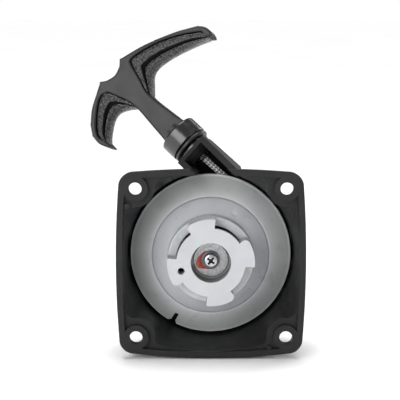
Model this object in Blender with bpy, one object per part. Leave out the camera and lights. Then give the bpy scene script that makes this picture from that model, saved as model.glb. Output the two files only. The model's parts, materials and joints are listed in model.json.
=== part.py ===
"""Recoil starter for a small engine, with a soft-start drive cam and a T handle.

Metres, +Z up. The origin is on the reel's axis, in the plane of the four bolt bosses.
-Y faces the engine, so the housing's depth runs along +Y. Sizes below are in millimetres.
"""

import math

import bmesh
import bpy
from mathutils import Matrix, Vector

MM = 0.001
GAP = 0.3  # between pieces that touch on the real object
CUT = 2.0  # how far a cutter runs past the wall it cuts

# Bolt flange
BOLT_SPACING = 66.0
BOLT_RADIUS = 2.85
BOSS_RADIUS = 5.5
FLANGE_HALF = 40.4
FLANGE_BULGE = 1.3
BOTTOM_BULGE = 2.1
CORNER_RADIUS = 6.5
RIM_WIDTH = 2.8
FLANGE_DEPTH = 4.5
BOSS_DEPTH = 3.5
RIM_RECESS = 2.2
BITE_RADIUS = 8.3
SEAT_RADIUS = 5.0
DRIVER_RADIUS = 6.0

# Bowl
BOWL_TOP = 24.0
BOWL_RADIUS = 40.2
BOWL_BACK_RADIUS = 38.6
BOWL_INNER = 37.9
HOUSING_DEPTH = 42.5
FLOOR = 40.2
POST_RADIUS = 5.6
POST_TOP = 11.5
SCREW_HOLE = 2.0
VENTS = 16
VENT_INNER = 25.5
VENT_OUTER = 33.5
VENT_WIDTH = 3.2

# Rope, guide and pull axis
ROPE = 3.0
TANGENT_RADIUS = 30.3
LEAD_ANGLE = math.radians(41.8)  # the pull axis, seen from the engine side, above the -X axis
LEAD_TILT = math.radians(20)  # and back from the flange plane
LEAD_RUN = 33.7  # from the tangent point's radius to the guide, along the rope
LEAD_DEPTH = 31.0
RUN_DEPTH = 30.1
GUIDE_RADIUS = 7.8
GUIDE_END = 4.0
GUIDE_BORE = 2.3
GUIDE_STUB = 4.3
NECK_RADIUS = 8.2
NECK_WALL = 2.7
PLATE = 1.8
NECK_START = 16.0
NECK_END_DEPTH = 15.0

# Reel
TOWER_TOP = 10.5
TOWER_RADIUS = 19.3
TOWER_BORE = 15.3
RIM_RADIUS = 36.5
RIM_TOP = 26.1
SHELL = 1.5
CORE_RADIUS = 22.8
BACK_FLANGE_RADIUS = 34.0
BACK_FLANGE = 35.6
REEL_BACK = 37.2
POST_BORE = 6.1
HUB_RADIUS = 8.2
RECESS_RADIUS = 21.3
RECESS_TOP = 30.4
NOTCH_ANGLE = math.radians(241)
NOTCH_DEPTH = 5.2
NOTCH_WIDTH = 2.0
KNOT_PLACE = 18.4
KNOT_POCKET = 2.8
KNOT_DEPTH = 27.0
KNOT_RADIUS = 2.3

# Drive cam
CAM_TOP = 2.0
DISC_RADIUS = 15.26
DISC = 2.2
LOBE_ANGLE = math.radians(40)
LOBE_START = math.radians(-6)
LOBES = 4
RECESS = 8.75
CAM_FLOOR = 11.5
CAM_TUBE = 10.5
CAM_BACK = 19.0

# Fasteners on the post
WASHER_RADIUS = 7.7
WASHER = 1.1
HEAD_RADIUS = 3.3
SPRING_WASHER_RADIUS = 4.1
SPRING_WASHER = 0.7
WASHER_DEPTH = POST_TOP - GAP - WASHER

# Springs: the rewind spiral in its case, and the coil between the reel and the cam
SPIRAL_INNER = 9.2
SPIRAL_OUTER = 19.4
SPIRAL_TURNS = 6
STRIP = 0.5
STRIP_FRONT = 32.0
STRIP_BACK = 38.2
CASE_INNER = 20.1
CASE_OUTER = 20.9
COIL_RADIUS = 13.0
COIL_WIRE = 2.0
COIL_TURNS = 4.5
COIL_FRONT = 15.4
COIL_BACK = 27.6

# Handle, along the pull axis from the neck's plate
COLLAR_RADIUS = 9.4
COLLAR_START = 6.4
COLLAR_END = 15.0
STEM_HALF = 5.2
ARM_HALF = 6.3
KNOT_SEAT = 47.5


def clear_scene():
    """Starts from an empty file."""
    for thing in list(bpy.data.objects):
        bpy.data.objects.remove(thing)


def material(name, colour, roughness, metallic=0.0):
    """A plain Principled material."""
    made = bpy.data.materials.new(name)
    made.use_nodes = True
    shader = made.node_tree.nodes["Principled BSDF"]
    shader.inputs["Base Color"].default_value = (*colour, 1)
    shader.inputs["Roughness"].default_value = roughness
    shader.inputs["Metallic"].default_value = metallic
    return made


def frame_empty(name, matrix):
    """An empty that carries the pieces modelled in its frame."""
    made = bpy.data.objects.new(name, None)
    bpy.context.scene.collection.objects.link(made)
    made.matrix_world = matrix
    return made


def object_from(name, bm, frame, skin=None):
    """Makes bm an object in a frame, with its faces out and round parts smooth."""
    bmesh.ops.recalc_face_normals(bm, faces=bm.faces)
    mesh = bpy.data.meshes.new(name)
    bm.to_mesh(mesh)
    bm.free()
    mesh.shade_smooth()
    mesh.set_sharp_from_angle(angle=math.radians(35))
    if skin:
        mesh.materials.append(skin)
    made = bpy.data.objects.new(name, mesh)
    bpy.context.scene.collection.objects.link(made)
    made.parent = frame
    return made


def on_circle(radius, angle, centre=(0, 0)):
    """A point of a circle."""
    return (centre[0] + radius * math.cos(angle), centre[1] + radius * math.sin(angle))


def arc(centre, radius, start, end, steps):
    """Points along an arc, both ends included."""
    return [
        on_circle(radius, start + (end - start) * i / steps, centre)
        for i in range(steps + 1)
    ]


def smooth_through(points, steps=3):
    """A Catmull-Rom curve through the points, which keeps its two ends."""
    ends = [points[0], *points, points[-1]]
    curve = []
    for a, b, c, d in zip(ends, ends[1:], ends[2:], ends[3:]):
        for i in range(steps):
            t = i / steps
            curve.append(
                tuple(
                    0.5 * (2 * q + (r - p) * t + (2 * p - 5 * q + 4 * r - s) * t**2
                           + (3 * q - p - 3 * r + s) * t**3)
                    for p, q, r, s in zip(a, b, c, d)
                )
            )
    return [*curve, points[-1]]


def turned(profile, segments):
    """A bmesh turned about Z from (radius, height) points in mm, which form a loop or end on the axis."""
    bm = bmesh.new()
    line = [bm.verts.new((r * MM, 0, z * MM)) for r, z in profile]
    edges = [bm.edges.new(pair) for pair in zip(line, line[1:])]
    if profile[0][0] > 0 or profile[-1][0] > 0:
        edges.append(bm.edges.new((line[-1], line[0])))
    bmesh.ops.spin(
        bm, geom=[*line, *edges], cent=(0, 0, 0), axis=(0, 0, 1), angle=math.tau, steps=segments
    )
    bmesh.ops.remove_doubles(bm, verts=bm.verts, dist=1e-6)
    return bm


def extruded(outline, low, high):
    """A bmesh of an outline in XY, in mm, between two heights."""
    bm = bmesh.new()
    face = bm.faces.new([bm.verts.new((x * MM, y * MM, low * MM)) for x, y in outline])
    grown = bmesh.ops.extrude_face_region(bm, geom=[face])["geom"]
    top = [part for part in grown if isinstance(part, bmesh.types.BMVert)]
    bmesh.ops.translate(bm, verts=top, vec=(0, 0, (high - low) * MM))
    return bm


def lofted(sections):
    """A bmesh through closed outlines of equal length, each given with its height in mm."""
    bm = bmesh.new()
    rings = [
        [bm.verts.new((x * MM, y * MM, z * MM)) for x, y in outline] for outline, z in sections
    ]
    for low, high in zip(rings, rings[1:]):
        for i in range(len(low)):
            bm.faces.new((low[i - 1], low[i], high[i], high[i - 1]))
    bm.faces.new(rings[0])
    bm.faces.new(rings[-1])
    return bm


def drum(radius, low, high, centre=(0, 0), segments=32):
    """A bmesh of a plain cylinder along Z, in mm."""
    return extruded(arc(centre, radius, 0, math.tau * (1 - 1 / segments), segments - 1), low, high)


def block(x, y, z):
    """A bmesh of a box given by its (low, high) along each axis, in mm."""
    return extruded([(x[0], y[0]), (x[1], y[0]), (x[1], y[1]), (x[0], y[1])], *z)


def combine(target, bm, operation="DIFFERENCE", matrix=None, solver="EXACT"):
    """Cuts bm from an object, or joins it on, with a live Boolean. bm is in the target's frame."""
    tool = object_from(target.name + "_tool", bm, target.parent)
    tool.matrix_local = matrix if matrix else Matrix.Identity(4)
    tool.hide_render = True
    tool.display_type = "WIRE"
    step = target.modifiers.new(operation.title(), "BOOLEAN")
    step.operation = operation
    step.solver = solver
    step.object = tool
    return tool


def rounded(target, width, segments=2, degrees=40):
    """A live Bevel on the sharp edges."""
    step = target.modifiers.new("Edges", "BEVEL")
    step.width = width * MM
    step.segments = segments
    step.limit_method = "ANGLE"
    step.angle_limit = math.radians(degrees)
    step.use_clamp_overlap = True
    return step


def tube(name, route, diameter, frame, skin, resolution=2):
    """A round bar along a route in mm, with filled ends."""
    made = bpy.data.curves.new(name, "CURVE")
    made.dimensions = "3D"
    made.bevel_depth = diameter * MM / 2
    made.bevel_resolution = resolution
    made.use_fill_caps = True
    spline = made.splines.new("POLY")
    spline.points.add(len(route) - 1)
    for point, place in zip(spline.points, route):
        point.co = (*[value * MM for value in place], 1)
    made.materials.append(skin)
    bar = bpy.data.objects.new(name, made)
    bpy.context.scene.collection.objects.link(bar)
    bar.parent = frame
    return bar


def reel_axis_frame():
    """The frame on the reel's axis: X right, Y up, Z towards the engine, so depths are negative."""
    return Matrix.Rotation(math.radians(90), 4, "X")


def pull_axis_frame():
    """The frame at the neck's plate: X across the handle, Y along the pull, Z out of its front face."""
    along = Vector((-math.cos(LEAD_ANGLE), 0, math.sin(LEAD_ANGLE)))
    across = Vector((math.sin(LEAD_ANGLE), 0, math.cos(LEAD_ANGLE)))
    pull = along * math.cos(LEAD_TILT) + Vector((0, math.sin(LEAD_TILT), 0))
    place = along * LEAD_RUN + across * TANGENT_RADIUS + Vector((0, LEAD_DEPTH, 0))
    axes = Matrix((across, pull, across.cross(pull))).transposed().to_4x4()
    return Matrix.Translation(place * MM) @ axes


def along_pull():
    """Turns a bmesh's Z onto the pull axis, for turned pieces."""
    return Matrix.Rotation(math.radians(-90), 4, "X")


# Housing


def side_bulge(quarter):
    """How far a side of the flange bows out at its middle, counted from the right side anticlockwise."""
    return BOTTOM_BULGE if quarter == 3 else FLANGE_BULGE


def flange_outline(inset, radius, sides=7, corner_steps=4):
    """The bulged square: four shallow arcs joined by rounded corners, anticlockwise from the right side."""
    half = FLANGE_HALF - inset
    reach = half - radius
    points = []
    for quarter in range(4):
        turn = Matrix.Rotation(math.radians(90 * quarter), 2)
        for i in range(1, sides):
            along = 2 * i / sides - 1
            bulge = side_bulge(quarter) * (1 - along**2)
            points.append(turn @ Vector((half + bulge, along * reach)))
        corner = arc((reach, reach), radius, 0, math.radians(90), corner_steps)
        points += [turn @ Vector(point) for point in corner]
    return [tuple(point) for point in points]


def cavity_outline():
    """The opening inside the rim: its sides follow the flange, and each corner is bitten round a bolt boss."""
    half = FLANGE_HALF - RIM_WIDTH
    centre = BOLT_SPACING / 2
    flare = 4.0
    # A flare of this radius touches the side wall and the bite, which it meets from outside.
    reach = BITE_RADIUS + flare
    drop = math.sqrt(reach**2 - (half - flare - centre) ** 2)
    lean = math.atan2(drop, half - flare - centre)
    points = []
    for quarter in range(4):
        turn = Matrix.Rotation(math.radians(90 * quarter), 2)
        flare_centre = (half - flare, centre - drop)
        side = []
        for i in range(1, 8):
            along = 2 * i / 8 - 1
            side.append((half + side_bulge(quarter) * (1 - along**2), along * (centre - drop)))
        side += arc(flare_centre, flare, 0, math.pi - lean, 4)
        bite = arc((centre, centre), BITE_RADIUS, -lean, lean - 1.5 * math.pi, 9)
        side += bite[1:-1]
        mirrored = [(y, x) for x, y in arc(flare_centre, flare, 0, math.pi - lean, 4)]
        side += mirrored[::-1]
        points += [turn @ Vector(point) for point in side]
    return [tuple(point) for point in points]


def round_outline(outline, radius):
    """The circle's points at an outline's angles."""
    return [on_circle(radius, math.atan2(y, x)) for x, y in outline]


def bolt_centres():
    """The four bolt positions in the flange plane."""
    half = BOLT_SPACING / 2
    return [(x, y) for x in (-half, half) for y in (-half, half)]


def neck_loft(radius, start, front_start, front_end, inset):
    """A bmesh of the neck or its channel: a U across the rope, open to the engine, up to the leaning end plate."""
    along = Vector((-math.cos(LEAD_ANGLE), math.sin(LEAD_ANGLE), 0))
    across = Vector((math.sin(LEAD_ANGLE), math.cos(LEAD_ANGLE), 0))
    bend = arc((0, LEAD_DEPTH), radius, math.pi, 0, 10)
    bm = bmesh.new()
    rings = []
    for at_end, front in ((False, front_start), (True, front_end)):
        ring = []
        for side, depth in [(-radius, front), *bend, (radius, front)]:
            lean = (LEAD_DEPTH - depth) * math.tan(LEAD_TILT)
            reach = LEAD_RUN + lean - inset if at_end else start
            place = along * reach + across * (TANGENT_RADIUS + side) - Vector((0, 0, depth))
            ring.append(bm.verts.new(place * MM))
        rings.append(ring)
    for i in range(len(rings[0])):
        bm.faces.new((rings[0][i - 1], rings[0][i], rings[1][i], rings[1][i - 1]))
    bm.faces.new(rings[0])
    bm.faces.new(rings[1])
    return bm


def housing(frame, skin):
    """The moulded cover: flange, bowl, neck and centre post in one piece."""
    square = flange_outline(0, CORNER_RADIUS)
    body = object_from(
        "housing",
        lofted(
            [
                (square, 0),
                (flange_outline(0.2, CORNER_RADIUS), -FLANGE_DEPTH),
                (round_outline(square, BOWL_RADIUS), -BOWL_TOP),
                (round_outline(square, BOWL_BACK_RADIUS), -HOUSING_DEPTH + 2.5),
                (round_outline(square, BOWL_BACK_RADIUS - 2.5), -HOUSING_DEPTH),
            ]
        ),
        frame,
        skin,
    )
    combine(body, neck_loft(NECK_RADIUS, NECK_START, 0.4, NECK_END_DEPTH, 0), "UNION")
    inner = cavity_outline()
    combine(
        body,
        lofted(
            [
                (inner, CUT),
                (inner, -FLANGE_DEPTH),
                (round_outline(inner, BOWL_INNER), -BOWL_TOP),
                (round_outline(inner, BOWL_INNER - 0.6), -FLOOR),
            ]
        ),
    )
    channel = NECK_RADIUS - NECK_WALL
    combine(body, neck_loft(channel, NECK_START - 8, -CUT, -CUT, PLATE))
    recess = extruded(flange_outline(RIM_WIDTH, CORNER_RADIUS - RIM_WIDTH), -RIM_RECESS, CUT)
    tool = combine(body, recess)
    for centre in bolt_centres():
        combine(tool, drum(BOSS_RADIUS, -RIM_RECESS - CUT, 2 * CUT, centre, 24))
        combine(body, drum(BOLT_RADIUS, -FLANGE_DEPTH - CUT, CUT, centre, 24))
        combine(body, drum(SEAT_RADIUS, -FLANGE_DEPTH - CUT, -BOSS_DEPTH, centre, 24))
        combine(body, driver_pocket(centre))
    combine(body, drum(POST_RADIUS, -FLOOR - 1, -POST_TOP), "UNION")
    combine(body, drum(SCREW_HOLE, -POST_TOP - 16, CUT - POST_TOP, segments=16))
    bore = combine(body, drum(GUIDE_STUB + GAP, -PLATE - CUT, CUT, segments=24))
    bore.matrix_local = frame.matrix_world.inverted() @ pull_axis_frame() @ along_pull()
    vents(body)
    return body


def driver_pocket(centre):
    """The space behind a bolt, open towards the corner, for the bolt's head and the driver."""
    outward = math.atan2(centre[1], centre[0])
    far = 24
    bend = arc((0, 0), DRIVER_RADIUS, math.radians(90), math.radians(270), 8)
    outline = [*bend, (far, -DRIVER_RADIUS), (far, DRIVER_RADIUS)]
    bm = extruded(outline, -BOWL_TOP - 4, -FLANGE_DEPTH)
    place = Matrix.Translation((centre[0] * MM, centre[1] * MM, 0))
    bmesh.ops.transform(
        bm, matrix=place @ Matrix.Rotation(outward, 4, "Z"), verts=bm.verts
    )
    return bm


def vents(body):
    """Radial air slots through the back, behind the reel."""
    for i in range(VENTS):
        turn = Matrix.Rotation(math.tau * (i + 0.5) / VENTS, 4, "Z")
        slot = block(
            (VENT_INNER, VENT_OUTER),
            (-VENT_WIDTH / 2, VENT_WIDTH / 2),
            (-HOUSING_DEPTH - CUT, -FLOOR + CUT),
        )
        combine(body, slot, matrix=turn)


# Turned and wound pieces on the reel's axis


def reel(frame, skin):
    """The rope pulley: tower, conical front flange, drum, back flange and the spring's recess."""
    groove = CORE_RADIUS
    profile = [
        (TOWER_BORE, -TOWER_TOP),
        (TOWER_RADIUS - 0.4, -TOWER_TOP),
        (TOWER_RADIUS, -TOWER_TOP - 0.4),
        (TOWER_RADIUS, -16.6),
        (TOWER_RADIUS + 0.6, -17.3),
        (26.1, -21.7),
        (26.4, -22.2),
        (26.9, -22.2),
        (RIM_RADIUS - 0.6, -RIM_TOP + 0.3),
        (RIM_RADIUS, -RIM_TOP),
        (RIM_RADIUS, -RIM_TOP - 1.0),
        (RIM_RADIUS - 0.6, -RIM_TOP - SHELL),
        (26.4, -22.2 - SHELL),
        (groove, -21.6),
        (groove, -BACK_FLANGE + 0.5),
        (groove + 0.5, -BACK_FLANGE),
        (BACK_FLANGE_RADIUS, -BACK_FLANGE - 0.3),
        (BACK_FLANGE_RADIUS, -REEL_BACK),
        (RECESS_RADIUS, -REEL_BACK),
        (RECESS_RADIUS, -RECESS_TOP),
        (HUB_RADIUS - 0.6, -RECESS_TOP),
        (HUB_RADIUS - 0.6, -REEL_BACK + 0.4),
        (POST_BORE, -REEL_BACK + 0.4),
        (POST_BORE, -20.0),
        (HUB_RADIUS, -20.0),
        (HUB_RADIUS, -28.9),
        (TOWER_BORE, -28.9),
    ]
    body = object_from("reel", turned(profile, 48), frame, skin)
    slot = [
        (RIM_RADIUS + 3, -NOTCH_WIDTH * 1.6),
        (RIM_RADIUS + 3, NOTCH_WIDTH * 1.6),
        (RIM_RADIUS - 0.8, NOTCH_WIDTH / 2),
        *arc((RIM_RADIUS - NOTCH_DEPTH + 1, 0), NOTCH_WIDTH / 2, math.radians(90), math.radians(270), 6),
        (RIM_RADIUS - 0.8, -NOTCH_WIDTH / 2),
    ]
    combine(body, extruded(slot, -32, -20), matrix=Matrix.Rotation(NOTCH_ANGLE, 4, "Z"))
    turn = Matrix.Rotation(NOTCH_ANGLE, 4, "Z")
    combine(body, drum(KNOT_POCKET, -RECESS_TOP - CUT, -24, (KNOT_PLACE, 0), 20), matrix=turn)
    hole = Matrix.Translation((0, 0, -KNOT_DEPTH * MM)) @ Matrix.Rotation(math.radians(90), 4, "Y")
    combine(body, drum(1.8, KNOT_PLACE, CORE_RADIUS + CUT, segments=16), matrix=turn @ hole)
    return body


def lobe_outline(start):
    """One drive lobe, sharp on its driving side and rounded on the other."""
    end = start + LOBE_ANGLE
    inner = DISC_RADIUS - 2.5
    corner = 2.2
    lean = corner / TOWER_RADIUS
    rise = arc(
        on_circle(TOWER_RADIUS - corner, end - lean),
        corner,
        end - lean,
        end - lean + math.radians(90),
        4,
    )
    return [
        on_circle(inner, start),
        *arc((0, 0), TOWER_RADIUS, start, end - 2 * lean, 7),
        *rise[1:],
        on_circle(inner, end),
    ]


def drive_cam(frame, skin):
    """The drive cam: a disc with four lobes, a washer recess and a bearing tube."""
    profile = [
        (RECESS, -CAM_TOP - 0.3),
        (RECESS + 0.3, -CAM_TOP),
        (DISC_RADIUS - 0.3, -CAM_TOP),
        (DISC_RADIUS, -CAM_TOP - 0.3),
        (DISC_RADIUS, -CAM_TOP - DISC),
        (CAM_TUBE, -CAM_TOP - DISC),
        (CAM_TUBE, -CAM_BACK),
        (POST_BORE - 0.1, -CAM_BACK),
        (POST_BORE - 0.1, -CAM_FLOOR),
        (RECESS, -CAM_FLOOR),
    ]
    body = object_from("drive_cam", turned(profile, 48), frame, skin)
    for i in range(LOBES):
        start = LOBE_START + math.tau * i / LOBES
        lobe = extruded(lobe_outline(start), GAP - TOWER_TOP, -CAM_TOP)
        combine(body, lobe, "UNION", solver="MANIFOLD")
    combine(body, drum(1.55, -TOWER_TOP - CUT, CUT, (-13.1, -3.7), 20), solver="MANIFOLD")
    return body


def plain_ring(name, inner, outer, depth, thickness, frame, skin, edge=0.2, segments=32):
    """A flat ring with eased edges. depth is the face towards the engine."""
    top, back = -depth, -depth - thickness
    profile = [
        (inner, top),
        (outer - edge, top),
        (outer, top - edge),
        (outer, back + edge),
        (outer - edge, back),
        (inner, back),
    ]
    return object_from(name, turned(profile, segments), frame, skin)


def centre_screw(frame, skin):
    """A pan-head screw with a cross recess, in the post."""
    seat = -WASHER_DEPTH + SPRING_WASHER + 2 * GAP
    profile = [
        (0, seat + 2.0),
        (1.8, seat + 1.85),
        (2.8, seat + 1.3),
        (HEAD_RADIUS, seat + 0.5),
        (HEAD_RADIUS, seat + 0.1),
        (HEAD_RADIUS - 0.1, seat),
        (1.7, seat),
        (1.7, -POST_TOP - 13),
        (0, -POST_TOP - 14.5),
    ]
    body = object_from("centre_screw", turned(profile, 24), frame, skin)
    for quarter in range(2):
        turn = Matrix.Rotation(math.radians(45 + 90 * quarter), 4, "Z")
        combine(body, block((-1.7, 1.7), (-0.35, 0.35), (seat + 0.8, seat + 4)), matrix=turn)
    return body


def spiral_spring(frame, skin):
    """The flat rewind spring: one strip wound in even turns."""
    steps = 22
    count = SPIRAL_TURNS * steps
    bm = bmesh.new()
    rings = []
    for i in range(count + 1):
        angle = math.tau * i / steps
        radius = SPIRAL_INNER + (SPIRAL_OUTER - SPIRAL_INNER) * i / count
        ring = []
        for r, depth in ((0, STRIP_FRONT), (STRIP, STRIP_FRONT), (STRIP, STRIP_BACK), (0, STRIP_BACK)):
            x, y = on_circle(radius + r, angle)
            ring.append(bm.verts.new((x * MM, y * MM, -depth * MM)))
        rings.append(ring)
    for low, high in zip(rings, rings[1:]):
        for i in range(4):
            bm.faces.new((low[i - 1], low[i], high[i], high[i - 1]))
    bm.faces.new(rings[0])
    bm.faces.new(rings[-1])
    return object_from("recoil_spring", bm, frame, skin)


def spring_case(frame, skin):
    """The pressed cup round the rewind spring, on the housing's floor."""
    back = -FLOOR + GAP
    front = GAP + 0.5 - STRIP_FRONT
    profile = [
        (POST_BORE, back + 0.7),
        (CASE_INNER, back + 0.7),
        (CASE_INNER, front),
        (CASE_OUTER, front),
        (CASE_OUTER, back + 0.4),
        (CASE_OUTER - 0.4, back),
        (POST_BORE, back),
    ]
    return object_from("spring_case", turned(profile, 36), frame, skin)


def damper_spring(frame, skin):
    """The torsion spring between the reel and the cam."""
    steps = 18
    count = int(COIL_TURNS * steps)
    route = []
    for i in range(count + 1):
        x, y = on_circle(COIL_RADIUS, math.tau * i / steps)
        route.append((x, y, (COIL_BACK - COIL_FRONT) * i / count - COIL_BACK))
    return tube("damper_spring", route, COIL_WIRE, frame, skin, 1)


def rope_winding(frame, skin):
    """The wound rope as one ring, with the outer turn beside the line that the rope leaves on."""
    low, high = RUN_DEPTH - ROPE / 2 - 0.1, BACK_FLANGE - GAP
    middle = RUN_DEPTH + ROPE / 2 + 0.1
    inner, two_layers = CORE_RADIUS + GAP, TANGENT_RADIUS - ROPE / 2 - 0.2
    outer = TANGENT_RADIUS + ROPE / 2
    profile = [
        (inner, -low),
        (two_layers - 0.8, -low),
        (two_layers, -low - 0.8),
        (two_layers, -middle),
        (outer - 0.8, -middle),
        (outer, -middle - 0.8),
        (outer, -high + 0.8),
        (outer - 0.8, -high),
        (inner, -high),
    ]
    return object_from("rope_winding", turned(profile, 36), frame, skin)


def rope_run(frame, skin):
    """The rope from the winding to the guide, in the reel-axis frame."""
    back_off = -PLATE - 4 * GAP
    reach = LEAD_RUN + back_off * math.cos(LEAD_TILT)
    depth_change = LEAD_DEPTH + back_off * math.sin(LEAD_TILT) - RUN_DEPTH
    steps = 6
    route = []
    for i in range(steps + 1):
        t = i / steps
        x = math.sin(LEAD_ANGLE) * TANGENT_RADIUS - math.cos(LEAD_ANGLE) * t * reach
        y = math.cos(LEAD_ANGLE) * TANGENT_RADIUS + math.sin(LEAD_ANGLE) * t * reach
        route.append((x, y, -RUN_DEPTH - t**2 * depth_change))
    return tube("rope_run", route, ROPE, frame, skin)


def knot(name, place, radius, frame, skin):
    """An overhand knot's bulk, as a squat ball of two lobes."""
    bm = bmesh.new()
    bmesh.ops.create_icosphere(bm, subdivisions=2, radius=radius * MM)
    for vert in bm.verts:
        side = math.atan2(vert.co.y, vert.co.x)
        vert.co *= 1 + 0.06 * math.cos(3 * side)
    made = object_from(name, bm, frame, skin)
    made.location = [value * MM for value in place]
    return made


# Pieces on the pull axis


def turned_on_pull(name, profile, frame, skin, segments=28):
    """A turned piece whose (radius, distance) profile runs along the pull axis."""
    made = object_from(name, turned(profile, segments), frame, skin)
    made.rotation_euler = (math.radians(-90), 0, 0)
    return made


def rope_guide(frame, skin):
    """The spout: a stub in the neck's plate, a flange, and the round seat for the handle."""
    profile = [
        (GUIDE_BORE + 0.7, -PLATE - GAP),
        (GUIDE_STUB, -PLATE - GAP),
        (GUIDE_STUB, GAP),
        (GUIDE_RADIUS + 0.3, GAP),
        (GUIDE_RADIUS + 0.3, 1.4),
        (GUIDE_RADIUS, 1.8),
        (GUIDE_RADIUS, GUIDE_END - 0.6),
        (GUIDE_RADIUS - 0.6, GUIDE_END),
        (GUIDE_BORE + 1.2, GUIDE_END),
        (GUIDE_BORE, GUIDE_END - 1.2),
        (GUIDE_BORE, -PLATE + 0.4),
    ]
    return turned_on_pull("rope_guide", profile, frame, skin)


def collar_bumper(frame, skin):
    """The dark ring between the collar and the guide."""
    low, high = GUIDE_END + GAP, COLLAR_START - GAP
    outer = COLLAR_RADIUS - 0.2
    profile = [
        (3.4, low),
        (outer - 0.5, low),
        (outer, low + 0.5),
        (outer, high - 0.4),
        (outer - 0.4, high),
        (3.4, high),
    ]
    return turned_on_pull("collar_bumper", profile, frame, skin)


def handle_collar(frame, skin):
    """The ferrule at the stem's foot."""
    low, high, radius = COLLAR_START, COLLAR_END - GAP, COLLAR_RADIUS
    profile = [
        (6.2, low),
        (radius - 1.0, low),
        (radius - 0.3, low + 0.3),
        (radius, low + 1.0),
        (radius, high - 1.2),
        (radius - 0.4, high - 0.4),
        (radius - 1.2, high),
        (6.2, high),
    ]
    return turned_on_pull("handle_collar", profile, frame, skin)


def handle_outline():
    """The hard T, as (across, along) points, anticlockwise from the foot of the stem's long-arm side."""
    stem = smooth_through([(6.1, COLLAR_END), (5.0, 26), (4.4, 34), (5.0, 38.5), (6.3, 42)])
    long_inner = smooth_through([(8.9, 51.2), (11.5, 53.0), (23.0, 49.4), (33.6, 43.2), (41.6, 36.6)])
    long_tip = smooth_through([(41.5, 33.4), (43.3, 31.8), (44.5, 34.0), (44.2, 37), (42.4, 39.8)])
    long_outer = smooth_through([(35.0, 44.9), (26.2, 49.7), (17.0, 53.9), (7.0, 57.2)])
    notch = smooth_through([(4.6, 55.2), (0, 53.9), (-4.6, 55.2)])
    short_outer = smooth_through([(-7.0, 57.0), (-12.4, 54.5), (-19.0, 51.2), (-24.4, 46.8)])
    short_tip = smooth_through([(-27.6, 42.2), (-28.0, 37.2), (-25.6, 32.6), (-25.0, 36.4)])
    short_inner = smooth_through([(-26.0, 39.4), (-23.9, 43.2), (-17.8, 48.6), (-11.7, 52.0), (-8.0, 50.8)])
    foot = smooth_through([(-5.2, 42.5), (-4.4, 39), (-4.2, 34), (-5.0, 26), (-6.1, COLLAR_END)])
    return [
        *stem, *long_inner, *long_tip, *long_outer, *notch,
        *short_outer, *short_tip, *short_inner, *foot,
    ]


def handle_body(frame, skin):
    """The hard T handle, bored for the rope, with a pocket for its knot."""
    body = object_from("handle_body", extruded(handle_outline(), -ARM_HALF, ARM_HALF), frame, skin)
    rounded(body, 1.0, 1, 50)
    for side in (-1, 1):
        low, high = sorted((side * STEM_HALF, side * (ARM_HALF + CUT)))
        combine(body, block((-9, 9), (COLLAR_END - CUT, 36), (low, high)))
    turn = along_pull()
    combine(body, drum(5.9, COLLAR_START + 0.5, COLLAR_END + 2, segments=28), "UNION", turn)
    combine(body, drum(2.0, COLLAR_START - CUT, 60, segments=16), matrix=turn)
    combine(body, drum(4.0, KNOT_SEAT, 60, segments=20), matrix=turn)
    return body


def grip_insert(name, outer, inner, frame, skin):
    """A soft insert between the arm's hard spine and the fingers."""
    outline = [*smooth_through(outer, 2), *smooth_through(inner, 2)]
    body = object_from(name, extruded(outline, -ARM_HALF - 0.2, ARM_HALF + 0.2), frame, skin)
    rounded(body, 1.6, 2, 50)
    return body


def grip_inserts(frame, skin):
    """The inserts of the long and the short arm."""
    grip_insert(
        "grip_insert_long",
        [(6.9, 42.6), (9.3, 50.6), (11.7, 52.3), (22.8, 48.8), (33.3, 42.7), (41.0, 36.2)],
        [(40.9, 32.6), (32.0, 36.8), (24.0, 40.0), (16.5, 41.8), (12.0, 41.0), (8.6, 38.2), (5.5, 35.0)],
        frame,
        skin,
    )
    grip_insert(
        "grip_insert_short",
        [(-25.2, 39.4), (-23.3, 42.7), (-17.5, 47.9), (-11.7, 51.3), (-8.5, 50.2), (-5.7, 42.6)],
        [(-5.3, 37.0), (-8.4, 39.8), (-12.0, 41.4), (-16.0, 41.0), (-20.6, 38.4), (-24.5, 35.8)],
        frame,
        skin,
    )


def rope_lead(frame, skin):
    """The rope through the guide and the handle."""
    start, end, steps = -PLATE - GAP, KNOT_SEAT + 0.2, 8
    route = [(0, start + (end - start) * i / steps, 0) for i in range(steps + 1)]
    return tube("rope_lead", route, ROPE, frame, skin)


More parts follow.
